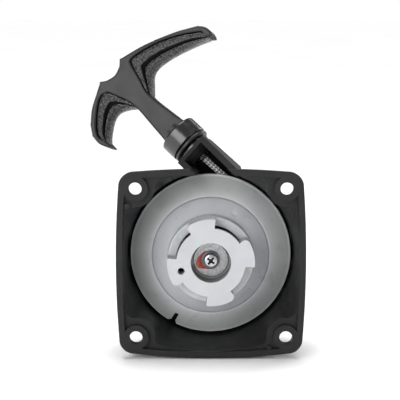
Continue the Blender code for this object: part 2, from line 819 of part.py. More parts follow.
def build():
    """Makes every piece in its frame."""
    clear_scene()
    black = material("black_plastic", (0.03, 0.03, 0.032), 0.45)
    gloss = material("gloss_black", (0.02, 0.02, 0.022), 0.2)
    soft = material("soft_grip", (0.035, 0.035, 0.036), 0.75)
    nylon = material("natural_nylon", (0.55, 0.57, 0.58), 0.4)
    white = material("white_acetal", (0.8, 0.81, 0.83), 0.35)
    steel = material("zinc_steel", (0.6, 0.6, 0.6), 0.3, 1.0)
    dark = material("blued_steel", (0.12, 0.12, 0.14), 0.35, 1.0)
    braid = material("braided_rope", (0.5, 0.5, 0.5), 0.9)
    axis = frame_empty("starter_axis", reel_axis_frame())
    pull = frame_empty("pull_axis", pull_axis_frame())
    bpy.context.view_layer.update()
    housing(axis, black)
    reel(axis, nylon)
    drive_cam(axis, white)
    plain_ring("retaining_washer", 2.2, WASHER_RADIUS, WASHER_DEPTH, WASHER, axis, steel)
    spring_washer_depth = WASHER_DEPTH - GAP - SPRING_WASHER
    plain_ring(
        "spring_washer", 2.1, SPRING_WASHER_RADIUS, spring_washer_depth, SPRING_WASHER, axis, dark
    )
    centre_screw(axis, steel)
    spiral_spring(axis, dark)
    spring_case(axis, steel)
    cover_depth = STRIP_FRONT - GAP - 0.5
    plain_ring("spring_cover", 8.6, CASE_INNER - GAP, cover_depth, 0.5, axis, steel, 0.1)
    damper_spring(axis, dark)
    rope_winding(axis, braid)
    rope_run(axis, braid)
    x, y = on_circle(KNOT_PLACE, NOTCH_ANGLE)
    knot("reel_knot", (x, y, -KNOT_DEPTH), KNOT_RADIUS, axis, braid)
    rope_guide(pull, gloss)
    collar_bumper(pull, soft)
    handle_collar(pull, gloss)
    handle_body(pull, black)
    grip_inserts(pull, soft)
    rope_lead(pull, braid)
    knot("handle_knot", (0, KNOT_SEAT + 3.6, 0), 3.1, pull, braid)


build()
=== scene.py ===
"""The looks of a recoil starter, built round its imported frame.

Pieces are modelled in millimetres in one of two frames and then set in the row frame, in metres:
AXIS has the reel's axis as Z, with depths negative, and PULL has the rope's pull as Y.
"""
import json
from math import atan2, cos, degrees, exp, pi, radians, sin, sqrt, tan, tau

import bmesh
import bpy
from mathutils import Matrix, Vector, noise


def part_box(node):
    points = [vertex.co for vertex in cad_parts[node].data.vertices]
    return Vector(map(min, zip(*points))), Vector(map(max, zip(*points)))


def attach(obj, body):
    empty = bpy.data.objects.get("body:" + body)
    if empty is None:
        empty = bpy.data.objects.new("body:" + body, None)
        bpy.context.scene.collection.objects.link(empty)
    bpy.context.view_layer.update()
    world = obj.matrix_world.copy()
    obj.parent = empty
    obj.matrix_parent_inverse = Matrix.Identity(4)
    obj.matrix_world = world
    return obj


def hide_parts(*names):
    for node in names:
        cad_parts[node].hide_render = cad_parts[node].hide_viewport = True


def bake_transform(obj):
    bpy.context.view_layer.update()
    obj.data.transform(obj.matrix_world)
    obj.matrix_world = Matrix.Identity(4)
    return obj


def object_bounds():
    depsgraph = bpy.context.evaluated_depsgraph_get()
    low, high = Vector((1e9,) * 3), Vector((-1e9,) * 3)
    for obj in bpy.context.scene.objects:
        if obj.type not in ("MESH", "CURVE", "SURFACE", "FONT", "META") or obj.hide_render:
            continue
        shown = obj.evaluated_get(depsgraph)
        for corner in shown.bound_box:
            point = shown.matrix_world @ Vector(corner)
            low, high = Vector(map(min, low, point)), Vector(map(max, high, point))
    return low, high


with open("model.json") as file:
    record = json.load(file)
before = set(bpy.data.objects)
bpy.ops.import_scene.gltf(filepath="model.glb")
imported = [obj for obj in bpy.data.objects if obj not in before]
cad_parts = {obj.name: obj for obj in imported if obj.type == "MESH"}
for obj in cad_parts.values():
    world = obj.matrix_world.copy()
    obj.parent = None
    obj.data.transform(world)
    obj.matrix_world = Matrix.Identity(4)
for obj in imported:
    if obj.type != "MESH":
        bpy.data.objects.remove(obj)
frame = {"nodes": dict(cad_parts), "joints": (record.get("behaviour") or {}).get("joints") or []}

CAD_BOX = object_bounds()
MM = 0.001
GAP = 0.3
CUT = 2.0

# Flange and bowl
BOLT_HALF = 33.0
BOLT_RADIUS = 2.85
BOSS_RADIUS = 5.5
SEAT_RADIUS = 5.0
FLANGE_HALF = 40.4
SIDE_BULGE = (1.26, 1.3, 1.3, 2.04)  # right, top, left, bottom
CORNER_RADIUS = 6.5
RIM_WIDTH = 2.8
FLANGE_DEPTH = 4.5
BOSS_DEPTH = 3.5
RIM_RECESS = 2.2
BITE_RADIUS = 8.3
DRIVER_RADIUS = 6.0
BOWL_TOP = 24.0
BOWL_RADIUS = 40.2
BOWL_BACK_RADIUS = 38.6
BOWL_INNER = 37.9
HOUSING_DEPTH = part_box("housing")[1].y / MM
FLOOR = 40.2
POST_RADIUS = 5.6
POST_TOP = 11.5
MOULD_POSTS = ((1.3, (-36.6, 25.3)), (1.1, (25.7, -38.0)))  # two small posts near the rim
POST_FOOT = 9.5  # where they end, inside the wall
VENTS = 16
DRAFT = 0.6  # how much narrower the bowl is at its floor
SHADE_FROM = 0.0012  # in metres of depth: where the painted shade deep inside starts, and where it is full
SHADE_TO = 0.008

# Rope and neck
ROPE = 3.0
STRANDS = 6
BRAID_PITCH = 10.0
TANGENT_RADIUS = 30.3
LEAD_RUN = 33.7
LEAD_DEPTH = 31.0
RUN_DEPTH = 30.1
LEAD_TILT = radians(20)
LEAD_ANGLE = radians(41.8)
NECK_RADIUS = 8.2
NECK_WALL = 2.7
NECK_START = 16.0
NECK_END_DEPTH = 15.0
PLATE = 1.8
GUIDE_STUB = 4.3
GUIDE_RADIUS = 7.8
GUIDE_END = 4.0
GUIDE_BORE = 2.3

# Reel and cam
TOWER_TOP = 10.5
TOWER_RADIUS = 19.3
TOWER_BORE = 15.3
RIM_RADIUS = 36.5
RIM_TOP = 26.1
GROOVE_RADIUS = 26.4
GROOVE_DEPTH = 22.0
SHELL = 1.5
CORE_RADIUS = 22.8
BACK_FLANGE_RADIUS = 34.0
BACK_FLANGE = 35.6
REEL_BACK = 37.2
POST_BORE = 6.1
HUB_RADIUS = 8.2
HUB_TOP = 20.0
WEB = 28.9  # the depth of the floor inside the tower
RECESS_RADIUS = 21.3
RECESS_TOP = 30.4
NOTCH_ANGLE = radians(241)
MARK_RADIUS = 1.5
MARK_PLACE = (11.0, 19.9)
REEL_KNOT_HOLE = 2.8
REEL_ROPE_HOLE = 1.8
KNOT_PLACE = 18.4
KNOT_DEPTH = 27.0
CAM_TOP = 2.0
DISC_RADIUS = 15.26
DISC = 2.2
LOBES = 4
LOBE_ANGLE = radians(40)
LOBE_START = radians(-6)
RECESS = 8.75
CAM_HOLE = 1.55
CAM_HOLE_PLACE = (-13.1, -3.7)
CAM_FLOOR = 11.5
CAM_TUBE = 10.5
CAM_BACK = 19.0

# Fasteners
WASHER_RADIUS = 7.7
WASHER = 1.1
WASHER_FACE = POST_TOP - GAP - WASHER
SPRING_WASHER_RADIUS = 4.1
SPRING_WASHER = 0.7
HEAD_RADIUS = 3.3
SHANK = 1.7
SCREW_BORE = 2.0
CROSS_TURN = radians(52)

# Handle
COLLAR_RADIUS = 9.4
COLLAR_START = 6.4
COLLAR_END = 15.0
STEM_HALF = 5.2
ARM_HALF = 6.23
FOOT_RADIUS = 5.9
ROPE_HOLE = 2.0
KNOT_HOLE = 4.0
KNOT_SEAT = 47.5
T_TOP = 60.0  # clear of the top of the T
EDGE_TILT = 0.72  # a face of the T that is steeper than this is part of its edge, which has a rougher finish painted darker as shade
TONGUE = 0.9  # how far an insert reaches into the hard T
CREASE = range(40, 54)  # the steps of an insert's section that line its crease, which get a smooth material painted dark as shade

# Studio, in metres
FLOOR_DROP = 0.0002
LAMP_AIM = (0, 0.01, 0.03)

ALONG = Vector((-cos(LEAD_ANGLE), 0, sin(LEAD_ANGLE)))
ACROSS = Vector((sin(LEAD_ANGLE), 0, cos(LEAD_ANGLE)))
PULL_WAY = Vector(next(j for j in frame["joints"] if j["name"] == "handle_pull")["axis"]).normalized()


def pull_frame():
    """The frame at the neck's plate, found from the rope lead, which lies on the pull axis."""
    low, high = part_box("rope_lead")
    middle = (KNOT_SEAT + 0.2 - PLATE - GAP) / 2
    place = (low + high) / 2 - PULL_WAY * middle * MM
    axes = Matrix((ACROSS, PULL_WAY, ACROSS.cross(PULL_WAY))).transposed().to_4x4()
    return Matrix.Translation(place) @ axes


AXIS = Matrix.Rotation(radians(90), 4, "X") @ Matrix.Scale(MM, 4)
PULL = pull_frame() @ Matrix.Scale(MM, 4)
ON_PULL = Matrix.Rotation(radians(-90), 4, "X")  # turns a lathe shape's Z onto the pull


# Shapes, in millimetres


def on_circle(radius, angle, centre=(0, 0)):
    """A circle's point at an angle."""
    return (centre[0] + radius * cos(angle), centre[1] + radius * sin(angle))


def arc(centre, radius, start, end, steps):
    """Points along an arc, both ends included."""
    return [on_circle(radius, start + (end - start) * i / steps, centre) for i in range(steps + 1)]


def smooth_through(points, steps=8):
    """A Catmull-Rom curve through the points, which keeps its two ends."""
    ends = [points[0], *points, points[-1]]
    curve = []
    for a, b, c, d in zip(ends, ends[1:], ends[2:], ends[3:]):
        for i in range(steps):
            t = i / steps
            curve.append(
                tuple(
                    0.5 * (2 * q + (r - p) * t + (2 * p - 5 * q + 4 * r - s) * t**2
                           + (3 * q - p - 3 * r + s) * t**3)
                    for p, q, r, s in zip(a, b, c, d)
                )
            )
    return [*curve, points[-1]]


def resampled(points, count):
    """Points evenly spaced along a line, as vectors."""
    line = [Vector(point) for point in points]
    run = [0.0]
    for a, b in zip(line, line[1:]):
        run.append(run[-1] + (b - a).length)
    out = []
    k = 0
    for i in range(count):
        at = run[-1] * i / (count - 1)
        while k < len(line) - 2 and run[k + 1] < at:
            k += 1
        span = max(run[k + 1] - run[k], 1e-9)
        out.append(line[k].lerp(line[k + 1], (at - run[k]) / span))
    return out


def turned(profile, segments=144):
    """A bmesh turned about Z from (radius, height) points, which form a loop or end on the axis."""
    bm = bmesh.new()
    line = [bm.verts.new((r, 0, z)) for r, z in profile]
    edges = [bm.edges.new(pair) for pair in zip(line, line[1:])]
    if profile[0][0] > 0 or profile[-1][0] > 0:
        edges.append(bm.edges.new((line[-1], line[0])))
    bmesh.ops.spin(bm, geom=[*line, *edges], cent=(0, 0, 0), axis=(0, 0, 1), angle=tau, steps=segments)
    bmesh.ops.remove_doubles(bm, verts=bm.verts, dist=1e-3)
    return bm


def extruded(outline, low, high):
    """A bmesh of an outline in XY between two heights."""
    bm = bmesh.new()
    face = bm.faces.new([bm.verts.new((x, y, low)) for x, y in outline])
    grown = bmesh.ops.extrude_face_region(bm, geom=[face])["geom"]
    top = [part for part in grown if isinstance(part, bmesh.types.BMVert)]
    bmesh.ops.translate(bm, verts=top, vec=(0, 0, high - low))
    return bm


def skinned(rings, closed=False):
    """A bmesh through rings of 3D points, capped at both ends unless it closes on itself."""
    bm = bmesh.new()
    made = [[bm.verts.new(point) for point in ring] for ring in rings]
    pairs = list(zip(made, made[1:]))
    if closed:
        pairs.append((made[-1], made[0]))
    for low, high in pairs:
        for i in range(len(low)):
            bm.faces.new((low[i - 1], low[i], high[i], high[i - 1]))
    if not closed:
        bm.faces.new(made[0])
        bm.faces.new(made[-1])
    return bm


def lofted(sections):
    """A bmesh through closed outlines of equal length, each given with its height."""
    return skinned([[(x, y, z) for x, y in outline] for outline, z in sections])


def drum(radius, low, high, centre=(0, 0), segments=72):
    """A bmesh of a plain cylinder along Z."""
    return extruded(arc(centre, radius, 0, tau * (1 - 1 / segments), segments - 1), low, high)


def moved(bm, matrix):
    """bm once a matrix has moved it."""
    bmesh.ops.transform(bm, matrix=matrix, verts=bm.verts)
    return bm


def swept(path, radius, sides=12, closed=False):
    """A bmesh of a round bar along 3D points, with frames carried along so that it doesn't twist."""
    points = [Vector(point) for point in path]
    circle = [on_circle(1, tau * k / sides) for k in range(sides)]
    count = len(points)
    rings = []
    side = None
    for i, point in enumerate(points):
        before = points[i - 1] if i or closed else point
        after = points[(i + 1) % count] if i < count - 1 or closed else point
        way = (after - before).normalized()
        if side is None:
            side = way.orthogonal().normalized()
        side = (side - way * side.dot(way)).normalized()
        up = way.cross(side)
        rings.append([point + side * radius * x + up * radius * y for x, y in circle])
    return skinned(rings, closed)


# From shapes to pieces


def in_scene(name, data):
    """A new object in the scene, from its mesh, lamp or camera."""
    made = bpy.data.objects.new(name, data)
    bpy.context.scene.collection.objects.link(made)
    return made


def raw_object(name, bm):
    """An object from bm, with its faces out."""
    bmesh.ops.recalc_face_normals(bm, faces=bm.faces)
    mesh = bpy.data.meshes.new(name)
    bm.to_mesh(mesh)
    bm.free()
    return in_scene(name, mesh)


def baked(obj):
    """Turns an object's modifiers into its mesh."""
    graph = bpy.context.evaluated_depsgraph_get()
    mesh = bpy.data.meshes.new_from_object(obj.evaluated_get(graph))
    obj.modifiers.clear()
    obj.data = mesh
    return obj


def combine(target, shapes, operation="DIFFERENCE", solver="EXACT"):
    """Cuts shapes from an object, or joins them on."""
    tools = []
    for bm in shapes:
        tool = raw_object("tool", bm)
        tool.hide_render = True
        step = target.modifiers.new("combine", "BOOLEAN")
        step.operation = operation
        step.solver = solver
        step.object = tool
        tools.append(tool)
    baked(target)
    for tool in tools:
        bpy.data.objects.remove(tool)
    return target


def eased(obj, width, segments=3, angle=38):
    """Rounds the sharp edges and evens the shading of the flat faces next to them."""
    split = obj.modifiers.new("split", "TRIANGULATE")
    split.min_vertices = 5
    bevel = obj.modifiers.new("edges", "BEVEL")
    bevel.width = width
    bevel.segments = segments
    bevel.limit_method = "ANGLE"
    bevel.angle_limit = radians(angle)
    bevel.use_clamp_overlap = True
    bevel.miter_outer = "MITER_ARC"
    return baked(obj)


def piece(obj, place, body, slot, skins, *nodes, angle=40, weighted=True):
    """Sets a finished shape in the row frame, dresses it and gives it to a body."""
    obj.data.transform(place)
    obj.data.shade_smooth()
    obj.data.set_sharp_from_angle(angle=radians(angle))
    if weighted:
        step = obj.modifiers.new("normals", "WEIGHTED_NORMAL")
        step.keep_sharp = True
        baked(obj)
    marks = [min(face.material_index, len(skins) - 1) for face in obj.data.polygons]
    obj.data.materials.clear()
    for skin in skins:
        obj.data.materials.append(skin)
    obj.data.polygons.foreach_set("material_index", marks)
    if body:
        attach(obj, body)
    if nodes:
        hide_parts(*nodes)


# Materials


class Tree:
    """The nodes of a material or world."""

    def __init__(self, owner):
        """Turns the owner's nodes on."""
        owner.use_nodes = True
        self.nodes = owner.node_tree.nodes
        self.links = owner.node_tree.links

    def put(self, socket, value):
        """Links an input socket to another socket, or sets its value."""
        if isinstance(value, bpy.types.NodeSocket):
            self.links.new(value, socket)
        else:
            socket.default_value = value

    def node(self, kind, **settings):
        """A node with its settings, where a name that isn't a property is an input socket."""
        made = self.nodes.new("ShaderNode" + kind)
        for name, value in settings.items():
            if hasattr(made, name):
                setattr(made, name, value)
            else:
                self.put(made.inputs[name.replace("_", " ")], value)
        return made


class Look(Tree):
    """A Principled material whose colour, roughness and normal come from noise in object space."""

    def __init__(self, name, roughness, metallic=0.0, **constants):
        """A new material, where constants are Principled sockets with _ for a space."""
        self.made = bpy.data.materials.new(name)
        super().__init__(self.made)
        self.shader = self.nodes["Principled BSDF"]
        self.shader.inputs["Roughness"].default_value = roughness
        self.shader.inputs["Metallic"].default_value = metallic
        for socket, value in constants.items():
            self.shader.inputs[socket.replace("_", " ")].default_value = value
        self.place = self.node("TexCoord").outputs["Object"]
        self.height = None

    def math(self, operation, a, b=0.0, c=0.0):
        """A Math node's output, from sockets or numbers."""
        made = self.node("Math", operation=operation)
        for socket, value in zip(made.inputs, (a, b, c)):
            self.put(socket, value)
        return made.outputs[0]

    def noise(self, size, detail=2.0, roughness=0.5, vector=None):
        """Noise with features about size millimetres across."""
        made = self.node(
            "TexNoise", Scale=1 / (size * MM), Detail=detail, Roughness=roughness,
            Vector=vector or self.place,
        )
        return made.outputs["Fac"]

    def ramp(self, value, stops):
        """A colour ramp's output, from (position, colour) stops."""
        made = self.node("ValToRGB", Fac=value)
        points = made.color_ramp.elements
        while len(points) < len(stops):
            points.new(0.5)
        for point, (position, colour) in zip(points, stops):
            point.position = position
            point.color = (*colour, 1)
        return made.outputs["Color"]

    def spread(self, value, low, high, out_low, out_high):
        """A value mapped from one range to another."""
        made = self.node(
            "MapRange", Value=value, From_Min=low, From_Max=high, To_Min=out_low, To_Max=out_high
        )
        return made.outputs["Result"]

    def blend(self, colour_a, colour_b, share, kind="MIX"):
        """Two colours mixed."""
        made = self.node("Mix", data_type="RGBA", blend_type=kind)
        sockets = (made.inputs[0], made.inputs[6], made.inputs[7])
        for socket, value in zip(sockets, (share, colour_a, colour_b)):
            self.put(socket, (*value, 1) if isinstance(value, tuple) else value)
        return made.outputs[2]

    def colour(self, value):
        """Sets the base colour."""
        self.put(self.shader.inputs["Base Color"], value)

    def rough(self, value, low, high):
        """Lets the roughness drift between low and high with a noise value."""
        self.put(self.shader.inputs["Roughness"], self.spread(value, 0.3, 0.7, low, high))

    def bump(self, height, depth):
        """Adds relief of depth millimetres."""
        made = self.node("Bump", Strength=1.0, Distance=depth * MM, Height=height)
        if self.height:
            self.put(made.inputs["Normal"], self.height)
        self.height = made.outputs["Normal"]
        self.put(self.shader.inputs["Normal"], self.height)

    def radius(self):
        """The distance from the reel's axis, in metres."""
        parts = self.node("SeparateXYZ", Vector=self.place)
        square = self.math("MULTIPLY", parts.outputs["X"], parts.outputs["X"])
        total = self.math("MULTIPLY_ADD", parts.outputs["Z"], parts.outputs["Z"], square)
        return self.math("SQRT", total)


def moulded(name, dark, light, low, high, grain, depth, depth_shade=0.0, **constants):
    """Moulded plastic: uneven tone, drifting gloss, a fine spark-eroded grain and painted shade that
    darkens it deeper inside.
    """
    look = Look(name, (low + high) / 2, **constants)
    tone = look.ramp(look.noise(14, 4, 0.6), [(0.3, dark), (0.7, light)])
    if depth_shade:
        # painted shade: the colour goes towards black the deeper the surface lies
        depth_in = look.node("SeparateXYZ", Vector=look.place).outputs["Y"]
        share = look.spread(depth_in, SHADE_FROM, SHADE_TO, 0, depth_shade)
        tone = look.blend(tone, (0.0, 0.0, 0.0), share)
    look.colour(tone)
    look.rough(look.noise(5, 3), low, high)
    look.bump(look.noise(grain, 3, 0.6), depth)
    return look.made


def natural_nylon():
    """Milky nylon whose colour by radius holds painted light: shade in the groove, highlights beside it
    and on the rim, and a darker outer cone.
    """
    look = Look("natural_nylon", 0.3, Subsurface_Weight=0.35, Subsurface_Scale=0.003)
    look.shader.inputs["Subsurface Radius"].default_value = (1.0, 1.0, 1.0)
    reach = look.math("DIVIDE", look.radius(), RIM_RADIUS * MM)
    inner = GROOVE_RADIUS / RIM_RADIUS
    # painted light by radius: a dark groove line, a lighter ring outside it, a darker outer cone for the
    # dark seen through it, and a bright rim edge
    tone = look.ramp(
        reach,
        [
            (0.40, (0.64, 0.655, 0.67)),
            (inner - 0.016, (0.62, 0.64, 0.66)),
            (inner, (0.30, 0.31, 0.32)),
            (inner + 0.016, (0.70, 0.715, 0.72)),
            (0.80, (0.60, 0.615, 0.615)),
            (0.87, (0.52, 0.535, 0.53)),
            (0.965, (0.46, 0.475, 0.47)),
            (1.0, (0.85, 0.87, 0.87)),
        ],
    )
    cloud = look.ramp(look.noise(16, 4, 0.6), [(0.3, (0.86, 0.87, 0.88)), (0.7, (1.0, 1.0, 1.0))])
    look.colour(look.blend(tone, cloud, 1.0, "MULTIPLY"))
    look.rough(look.noise(6, 3), 0.24, 0.4)
    look.bump(look.noise(0.5, 3), 0.012)
    rings = look.node(
        "TexWave", wave_type="RINGS", rings_direction="Y", Scale=900.0, Distortion=1.5, Vector=look.place
    )
    look.bump(rings.outputs["Fac"], 0.004)
    return look.made


def turned_steel(name, dark, light, roughness, depth=0.01):
    """Plated steel with faint marks round the reel's axis."""
    look = Look(name, roughness, 1.0)
    far = look.node("CombineXYZ", X=look.radius())
    marks = look.noise(0.25, 2, 0.5, far.outputs[0])
    look.colour(look.ramp(look.noise(1.2, 4, 0.7), [(0.35, dark), (0.65, light)]))
    look.rough(marks, roughness - 0.08, roughness + 0.1)
    look.bump(marks, depth)
    look.bump(look.noise(0.35, 4, 0.7), depth)
    return look.made


def stippled(name, dark, light, size, depth, roughness, **constants):
    """Soft rubber covered in small raised grains, painted darker between them as shade and lighter on
    their tops.
    """
    look = Look(name, roughness, **constants)
    cells = look.node("TexVoronoi", Scale=1 / (size * MM), Randomness=1.0, Vector=look.place)
    height = look.math("SUBTRACT", 1.0, cells.outputs["Distance"])
    # painted shade between the grains and painted highlight on their tops
    look.colour(look.ramp(height, [(0.25, dark), (0.9, light)]))
    look.bump(height, depth)
    look.bump(look.noise(size / 2, 2), depth / 2)
    return look.made


def braid(name, place, pale, grey):
    """A woven rope cover whose two sets of strands wind round the line that place gives."""
    look = Look(name, 0.85, Sheen_Weight=0.3)
    turn = look.node(
        "Mapping", vector_type="TEXTURE", Vector=look.place, Location=place.to_translation(),
        Rotation=place.to_euler(),
    )
    parts = look.node("SeparateXYZ", Vector=turn.outputs[0])
    angle = look.math("ARCTAN2", parts.outputs["Z"], parts.outputs["X"])
    round_it = look.math("MULTIPLY", angle, STRANDS / 2)
    along = look.math("MULTIPLY", parts.outputs["Y"], pi * STRANDS / (BRAID_PITCH * MM))
    one = look.math("SINE", look.math("ADD", along, round_it))
    other = look.math("SINE", look.math("SUBTRACT", along, round_it))
    weave = look.math("MULTIPLY", one, other)
    height = look.math("SQRT", look.math("ABSOLUTE", weave))
    tone = look.ramp(look.math("MULTIPLY_ADD", weave, 0.5, 0.5), [(0.42, grey), (0.58, pale)])
    shade = look.ramp(height, [(0.0, (0.25, 0.25, 0.25)), (0.55, (1.0, 1.0, 1.0))])
    look.colour(look.blend(tone, shade, 1.0, "MULTIPLY"))
    look.bump(height, 0.25)
    look.bump(look.noise(0.12, 3, 0.7), 0.04)
    return look.made


def thread_lock():
    """Dried red thread-locking paint, thinner and paler away from the screw."""
    look = Look("thread_lock", 0.3, Specular_IOR_Level=0.35)
    reach = look.math("DIVIDE", look.radius(), WASHER_RADIUS * MM)
    stops = [(0.5, (0.36, 0.02, 0.012)), (0.72, (0.74, 0.09, 0.05)), (0.97, (0.80, 0.42, 0.36))]
    streaks = look.ramp(look.noise(1.6, 4, 0.6), [(0.35, (0.6, 0.5, 0.5)), (0.65, (1.0, 1.0, 1.0))])
    look.colour(look.blend(look.ramp(reach, stops), streaks, 1.0, "MULTIPLY"))
    look.rough(look.noise(1.5, 3), 0.25, 0.45)
    look.bump(look.noise(0.7, 2), 0.05)
    return look.made


# Housing


def bulged_square(half, reach, corner, steps=16):
    """Four sides that bulge out between -reach and reach, each followed by the corner's points."""
    points = []
    for quarter, bulge in enumerate(SIDE_BULGE):
        turn = Matrix.Rotation(radians(90 * quarter), 2)
        shares = [2 * i / steps - 1 for i in range(1, steps)]
        side = [(half + bulge * (1 - share**2), share * reach) for share in shares]
        points += [tuple(turn @ Vector(point)) for point in [*side, *corner]]
    return points


def flange_outline(inset, radius):
    """The flange's outline, anticlockwise from the right side."""
    half = FLANGE_HALF - inset
    reach = half - radius
    return bulged_square(half, reach, arc((reach, reach), radius, 0, radians(90), 12))


def cavity_outline():
    """The opening inside the rim, bitten round each bolt boss, with a flare beside each bite."""
    half = FLANGE_HALF - RIM_WIDTH
    flare = 4.0
    reach = BITE_RADIUS + flare
    run = half - flare - BOLT_HALF
    drop = sqrt(reach**2 - run**2)
    lean = atan2(drop, run)
    bend = arc((half - flare, BOLT_HALF - drop), flare, 0, pi - lean, 8)
    bite = arc((BOLT_HALF, BOLT_HALF), BITE_RADIUS, -lean, lean - 1.5 * pi, 24)
    corner = [*bend, *bite[1:-1], *[(y, x) for x, y in bend][::-1]]
    return bulged_square(half, BOLT_HALF - drop, corner)


def round_outline(outline, radius):
    """The circle's points at an outline's angles."""
    return [on_circle(radius, atan2(y, x)) for x, y in outline]


def neck_loft(radius, start, front_start, front_end, inset, steps=24):
    """The neck or its channel: a U across the rope, open to the engine, up to the leaning end plate."""
    along = Vector((ALONG.x, ALONG.z, 0))
    across = Vector((ACROSS.x, ACROSS.z, 0))
    rings = []
    for at_end, front in ((False, front_start), (True, front_end)):
        ring = []
        bend = arc((0, LEAD_DEPTH), radius, pi, 0, steps)
        for side, depth in [(-radius, front), *bend, (radius, front)]:
            lean = (LEAD_DEPTH - depth) * tan(LEAD_TILT)
            reach = LEAD_RUN + lean - inset if at_end else start
            ring.append(along * reach + across * (TANGENT_RADIUS + side) - Vector((0, 0, depth)))
        rings.append(ring)
    return skinned(rings)


def driver_pocket(centre):
    """The space behind a bolt, open towards the corner."""
    far = 24
    bend = arc((0, 0), DRIVER_RADIUS, radians(90), radians(270), 24)
    bm = extruded([*bend, (far, -DRIVER_RADIUS), (far, DRIVER_RADIUS)], -BOWL_TOP - 4, -FLANGE_DEPTH)
    turn = Matrix.Rotation(atan2(centre[1], centre[0]), 4, "Z")
    return moved(bm, Matrix.Translation((*centre, 0)) @ turn)


def housing(skin):
    """The moulded cover: flange, bowl, neck and post in one piece, with its edges eased."""
    square = flange_outline(0, CORNER_RADIUS)
    edge, ease = 0.5, 2.5  # the roundings at the flange's front and at the bowl's back
    sections = [
        (flange_outline(edge, CORNER_RADIUS - edge), 0),
        (flange_outline(edge * 0.3, CORNER_RADIUS - edge * 0.3), -edge * 0.3),
        (square, -edge),
        (flange_outline(0.2, CORNER_RADIUS), -FLANGE_DEPTH),
        (round_outline(square, BOWL_RADIUS), -BOWL_TOP),
        (round_outline(square, BOWL_BACK_RADIUS), -HOUSING_DEPTH + ease),
    ]
    for i in range(1, 6):
        bend = radians(18 * i)
        radius = BOWL_BACK_RADIUS - ease * (1 - cos(bend))
        sections.append((round_outline(square, radius), -HOUSING_DEPTH + ease - ease * sin(bend)))
    body = raw_object("cover_housing", lofted(sections))
    inner = cavity_outline()
    bowl = lofted(
        [
            (inner, CUT),
            (inner, -FLANGE_DEPTH),
            (round_outline(inner, BOWL_INNER), -BOWL_TOP),
            (round_outline(inner, BOWL_INNER - DRAFT), -FLOOR),
        ]
    )
    centres = [(x, y) for x in (-BOLT_HALF, BOLT_HALF) for y in (-BOLT_HALF, BOLT_HALF)]
    recess = raw_object(
        "recess", extruded(flange_outline(RIM_WIDTH, CORNER_RADIUS - RIM_WIDTH), -RIM_RECESS, CUT)
    )
    combine(recess, [drum(BOSS_RADIUS, -RIM_RECESS - CUT, 2 * CUT, centre) for centre in centres])
    recess_shape = bmesh.new()
    recess_shape.from_mesh(recess.data)
    bpy.data.objects.remove(recess)
    combine(body, [neck_loft(NECK_RADIUS, NECK_START, 0.4, NECK_END_DEPTH, 0)], "UNION")
    channel = neck_loft(NECK_RADIUS - NECK_WALL, NECK_START - 8, -CUT, -CUT, PLATE)
    combine(body, [bowl, channel, recess_shape])
    cuts = []
    for centre in centres:
        cuts.append(drum(BOLT_RADIUS, -FLANGE_DEPTH - CUT, CUT, centre))
        cuts.append(drum(SEAT_RADIUS, -FLANGE_DEPTH - CUT, -BOSS_DEPTH, centre))
        cuts.append(driver_pocket(centre))
    combine(body, cuts)
    posts = [drum(r, -POST_FOOT, -0.5, place, 32) for r, place in MOULD_POSTS]
    combine(body, [drum(POST_RADIUS, -FLOOR - 1, -POST_TOP), *posts], "UNION")
    bore = moved(drum(GUIDE_STUB + GAP, -PLATE - CUT, CUT), AXIS.inverted() @ PULL @ ON_PULL)
    combine(body, [drum(SCREW_BORE, -POST_TOP - 16, CUT - POST_TOP), bore, *vents(), *back_rings()])
    eased(body, 0.35)
    piece(body, AXIS, "housing", "housing_plastic", [skin], "housing")


def vents():
    """Round-ended air slots through the back."""
    inner, outer, half = 27.1, 31.9, 1.6
    slots = []
    for i in range(VENTS):
        outline = [
            *arc((outer, 0), half, radians(-90), radians(90), 10),
            *arc((inner, 0), half, radians(90), radians(270), 10),
        ]
        slot = extruded(outline, -HOUSING_DEPTH - CUT, -FLOOR + CUT)
        slots.append(moved(slot, Matrix.Rotation(tau * (i + 0.5) / VENTS, 4, "Z")))
    return slots


def back_rings():
    """Two shallow moulded steps in the back."""
    far, near = -HOUSING_DEPTH - CUT, -HOUSING_DEPTH + 0.6
    return [
        turned([(inner, far), (outer, far), (outer, near), (inner, near)])
        for inner, outer in ((21.6, 22.8), (7.0, 8.0))
    ]


# Reel, cam and fasteners


